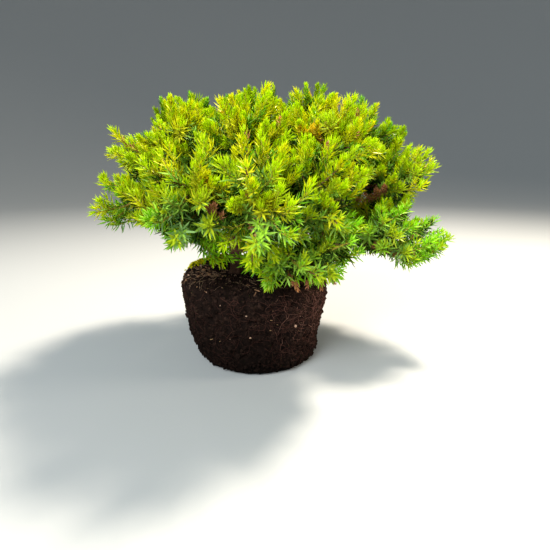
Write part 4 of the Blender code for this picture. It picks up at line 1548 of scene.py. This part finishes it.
def dress_crown(limbs, spaces, looks, trunk_points):
    samples = limb_samples(limbs)
    growth = Growth()
    woody = []
    for number, (name, space) in enumerate(spaces.items()):
        line = limbs[name][0] if name in limbs else trunk_points
        inward = (line[-1] - line[-2]).normalized()
        stem, twigs = grow_mass(number, space, line[-1], inward, samples)
        twigs = [outside_openings(twig) for twig in twigs]
        woody.append((stem, *STEM_RADII))
        woody += [(twig, *TWIG_RADII) for twig in twigs]
        grow_sprays(growth, number, name, space, stem, twigs, samples)
    parts = []
    for line, thick, thin in woody:
        radii = [thick + (thin - thick) * i / (len(line) - 1) for i in range(len(line))]
        parts.append(bark_tube(line, radii, 6, 3 * MM))
    twigs = outward(joined("twigs_woody", parts, looks["twig"]))
    curves = np.array([[list(p) for p in curve] for curve in growth.curves])
    thick = np.array(growth.thick)
    leading = thick > 0.5 * MM
    main_shoots = shoot_piece("shoots_leading", curves[leading], thick[leading], looks["shoot"], 3, 4)
    side = shoot_piece("shoots_side", curves[~leading], thick[~leading], looks["green_shoot"], 3, 3)
    for piece in (twigs, main_shoots, side):
        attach(piece, "root")
    rng = np.random.default_rng(SEED)
    place, axis, face, size, width, curl, tone, shoot = needle_rows(growth, curves, rng)
    keep = clear_needles(place + axis * size[:, None], samples)
    bent = np.array([kind == "star" for kind in growth.kinds])[shoot]
    for number, tone_name in enumerate(TONE_NAMES):
        for is_bent in (True, False):
            chosen = np.flatnonzero(keep & (tone == number) & (bent == is_bent))
            most = LARGEST_PIECE // (12 if is_bent else 6)
            for part in range(math.ceil(len(chosen) / most)):
                some = chosen[part * most : (part + 1) * most]
                name = f"needles_{tone_name}_{'bent' if is_bent else 'fine'}_{part + 1}"
                rows = [v[some] for v in (place, axis, face, size, width, curl)]
                piece = needle_piece(name, rows, looks[tone_name], is_bent)
                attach(piece, "root")
                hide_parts(*MASSES)


def clear_needles(tips, samples):
    """Which needles keep off the limbs."""
    places, radii = samples
    found = kdtree.KDTree(len(places))
    for k, place in enumerate(places):
        found.insert(place, k)
    found.balance()
    keep = np.ones(len(tips), dtype=bool)
    for k, tip in enumerate(tips):
        _, nearest, apart = found.find(tip)
        keep[k] = apart > radii[nearest] + NEEDLE_CLEARANCE
    return keep


# Setting


def make_floor():
    """A round floor that sweeps up at its edge into a backdrop, the same from every side."""
    outline = [(0.0, 0.0), (0.3, 0.0), (0.8, 0.0), (1.5, 0.0)]
    for degrees in range(0, 86, 5):
        turn = math.radians(degrees)
        outline.append((1.5 + 2.2 * math.sin(turn), 2.2 * (1 - math.cos(turn))))
    sectors = 96
    bm = bmesh.new()
    turns = [2 * math.pi * k / sectors for k in range(sectors)]
    rings = [
        [bm.verts.new((x * math.cos(turn), x * math.sin(turn), z)) for turn in turns] for x, z in outline[1:]
    ]
    middle = bm.verts.new((0, 0, 0))
    for k in range(sectors):
        after = (k + 1) % sectors
        bm.faces.new((middle, rings[0][k], rings[0][after]))
        for inside, outside in zip(rings, rings[1:]):
            bm.faces.new((inside[k], outside[k], outside[after], inside[after]))
    for vertex in bm.verts:
        vertex.co.z -= 0.2 * MM
    mesh = bpy.data.meshes.new("floor")
    bm.to_mesh(mesh)
    bm.free()
    mesh.shade_smooth()
    floor = placed("floor", mesh)
    look, _, shader, _ = new_shader("floor")
    shader.inputs["Base Color"].default_value = (0.33, 0.325, 0.325, 1)
    shader.inputs["Roughness"].default_value = 0.8
    floor.data.materials.append(look)


def area_light(name, place, aim, size, power, tint):
    lamp = bpy.data.lights.new(name, "AREA")
    lamp.shape = "DISK"
    lamp.size = size
    lamp.energy = power
    lamp.color = tint
    made = placed(name, lamp)
    made.location = place
    made.rotation_euler = (Vector(aim) - Vector(place)).to_track_quat("-Z", "Y").to_euler()


def make_setting():
    scene = bpy.context.scene
    make_floor()
    area_light("key", (0.36, 0.30, 0.97), (0, 0, 0.1), 0.2, 31.0, (1.0, 0.93, 0.78))
    area_light("front_fill", (-0.45, -0.90, 0.75), (0, 0, 0.1), 0.7, 26.0, (0.88, 0.98, 1.0))
    area_light("side", (0.92, -0.02, 0.30), (0, 0, 0.08), 0.35, 7.0, (1.0, 0.95, 0.82))
    world = bpy.data.worlds.new("studio")
    scene.world = world
    world.use_nodes = True
    world.node_tree.nodes["Background"].inputs["Color"].default_value = (0.82, 0.95, 1.0, 1)
    world.node_tree.nodes["Background"].inputs["Strength"].default_value = 0.46
    lens = bpy.data.cameras.new("camera")
    lens.lens = LENS
    lens.sensor_width = 36
    lens.clip_start = 0.01
    camera = placed("camera", lens)
    camera.location = VIEWPOINT
    camera.rotation_euler = (math.radians(90 - CAMERA_DIP), 0, 0)
    scene.camera = camera
    scene.view_settings.view_transform = "Standard"


def make_looks():
    mottle = mottle_group()
    looks = {name: textured(name, mottle, *row) for name, row in FINISHES.items()}
    looks["moss"] = needle_look("moss", mottle, MOSS_TONE, 0.4)
    for tone, (outer, inner) in TONES.items():
        glow = 0.0 if tone == "brown" else 0.45
        looks[tone] = [
            needle_look("needle_" + tone, mottle, outer, glow),
            needle_look("needle_face_" + tone, mottle, inner, glow),
        ]
    return looks


def main():
    rng = random.Random(SEED)
    looks = make_looks()
    trunk_points, trunk_radii = smooth_route(TRUNK_ROUTE, TRUNK_RADII, TRUNK_STEPS)
    spaces = plan_spaces()
    limbs = plan_limbs(spaces, trunk_points, trunk_radii)
    make_limbs(limbs, looks["bark"])
    skin = soil_surface(looks["soil"])
    dress_root_ball(skin, looks, rng)
    root_threads(skin, looks, rng)
    dress_crown(limbs, spaces, looks, trunk_points)
    make_setting()
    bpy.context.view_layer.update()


main()
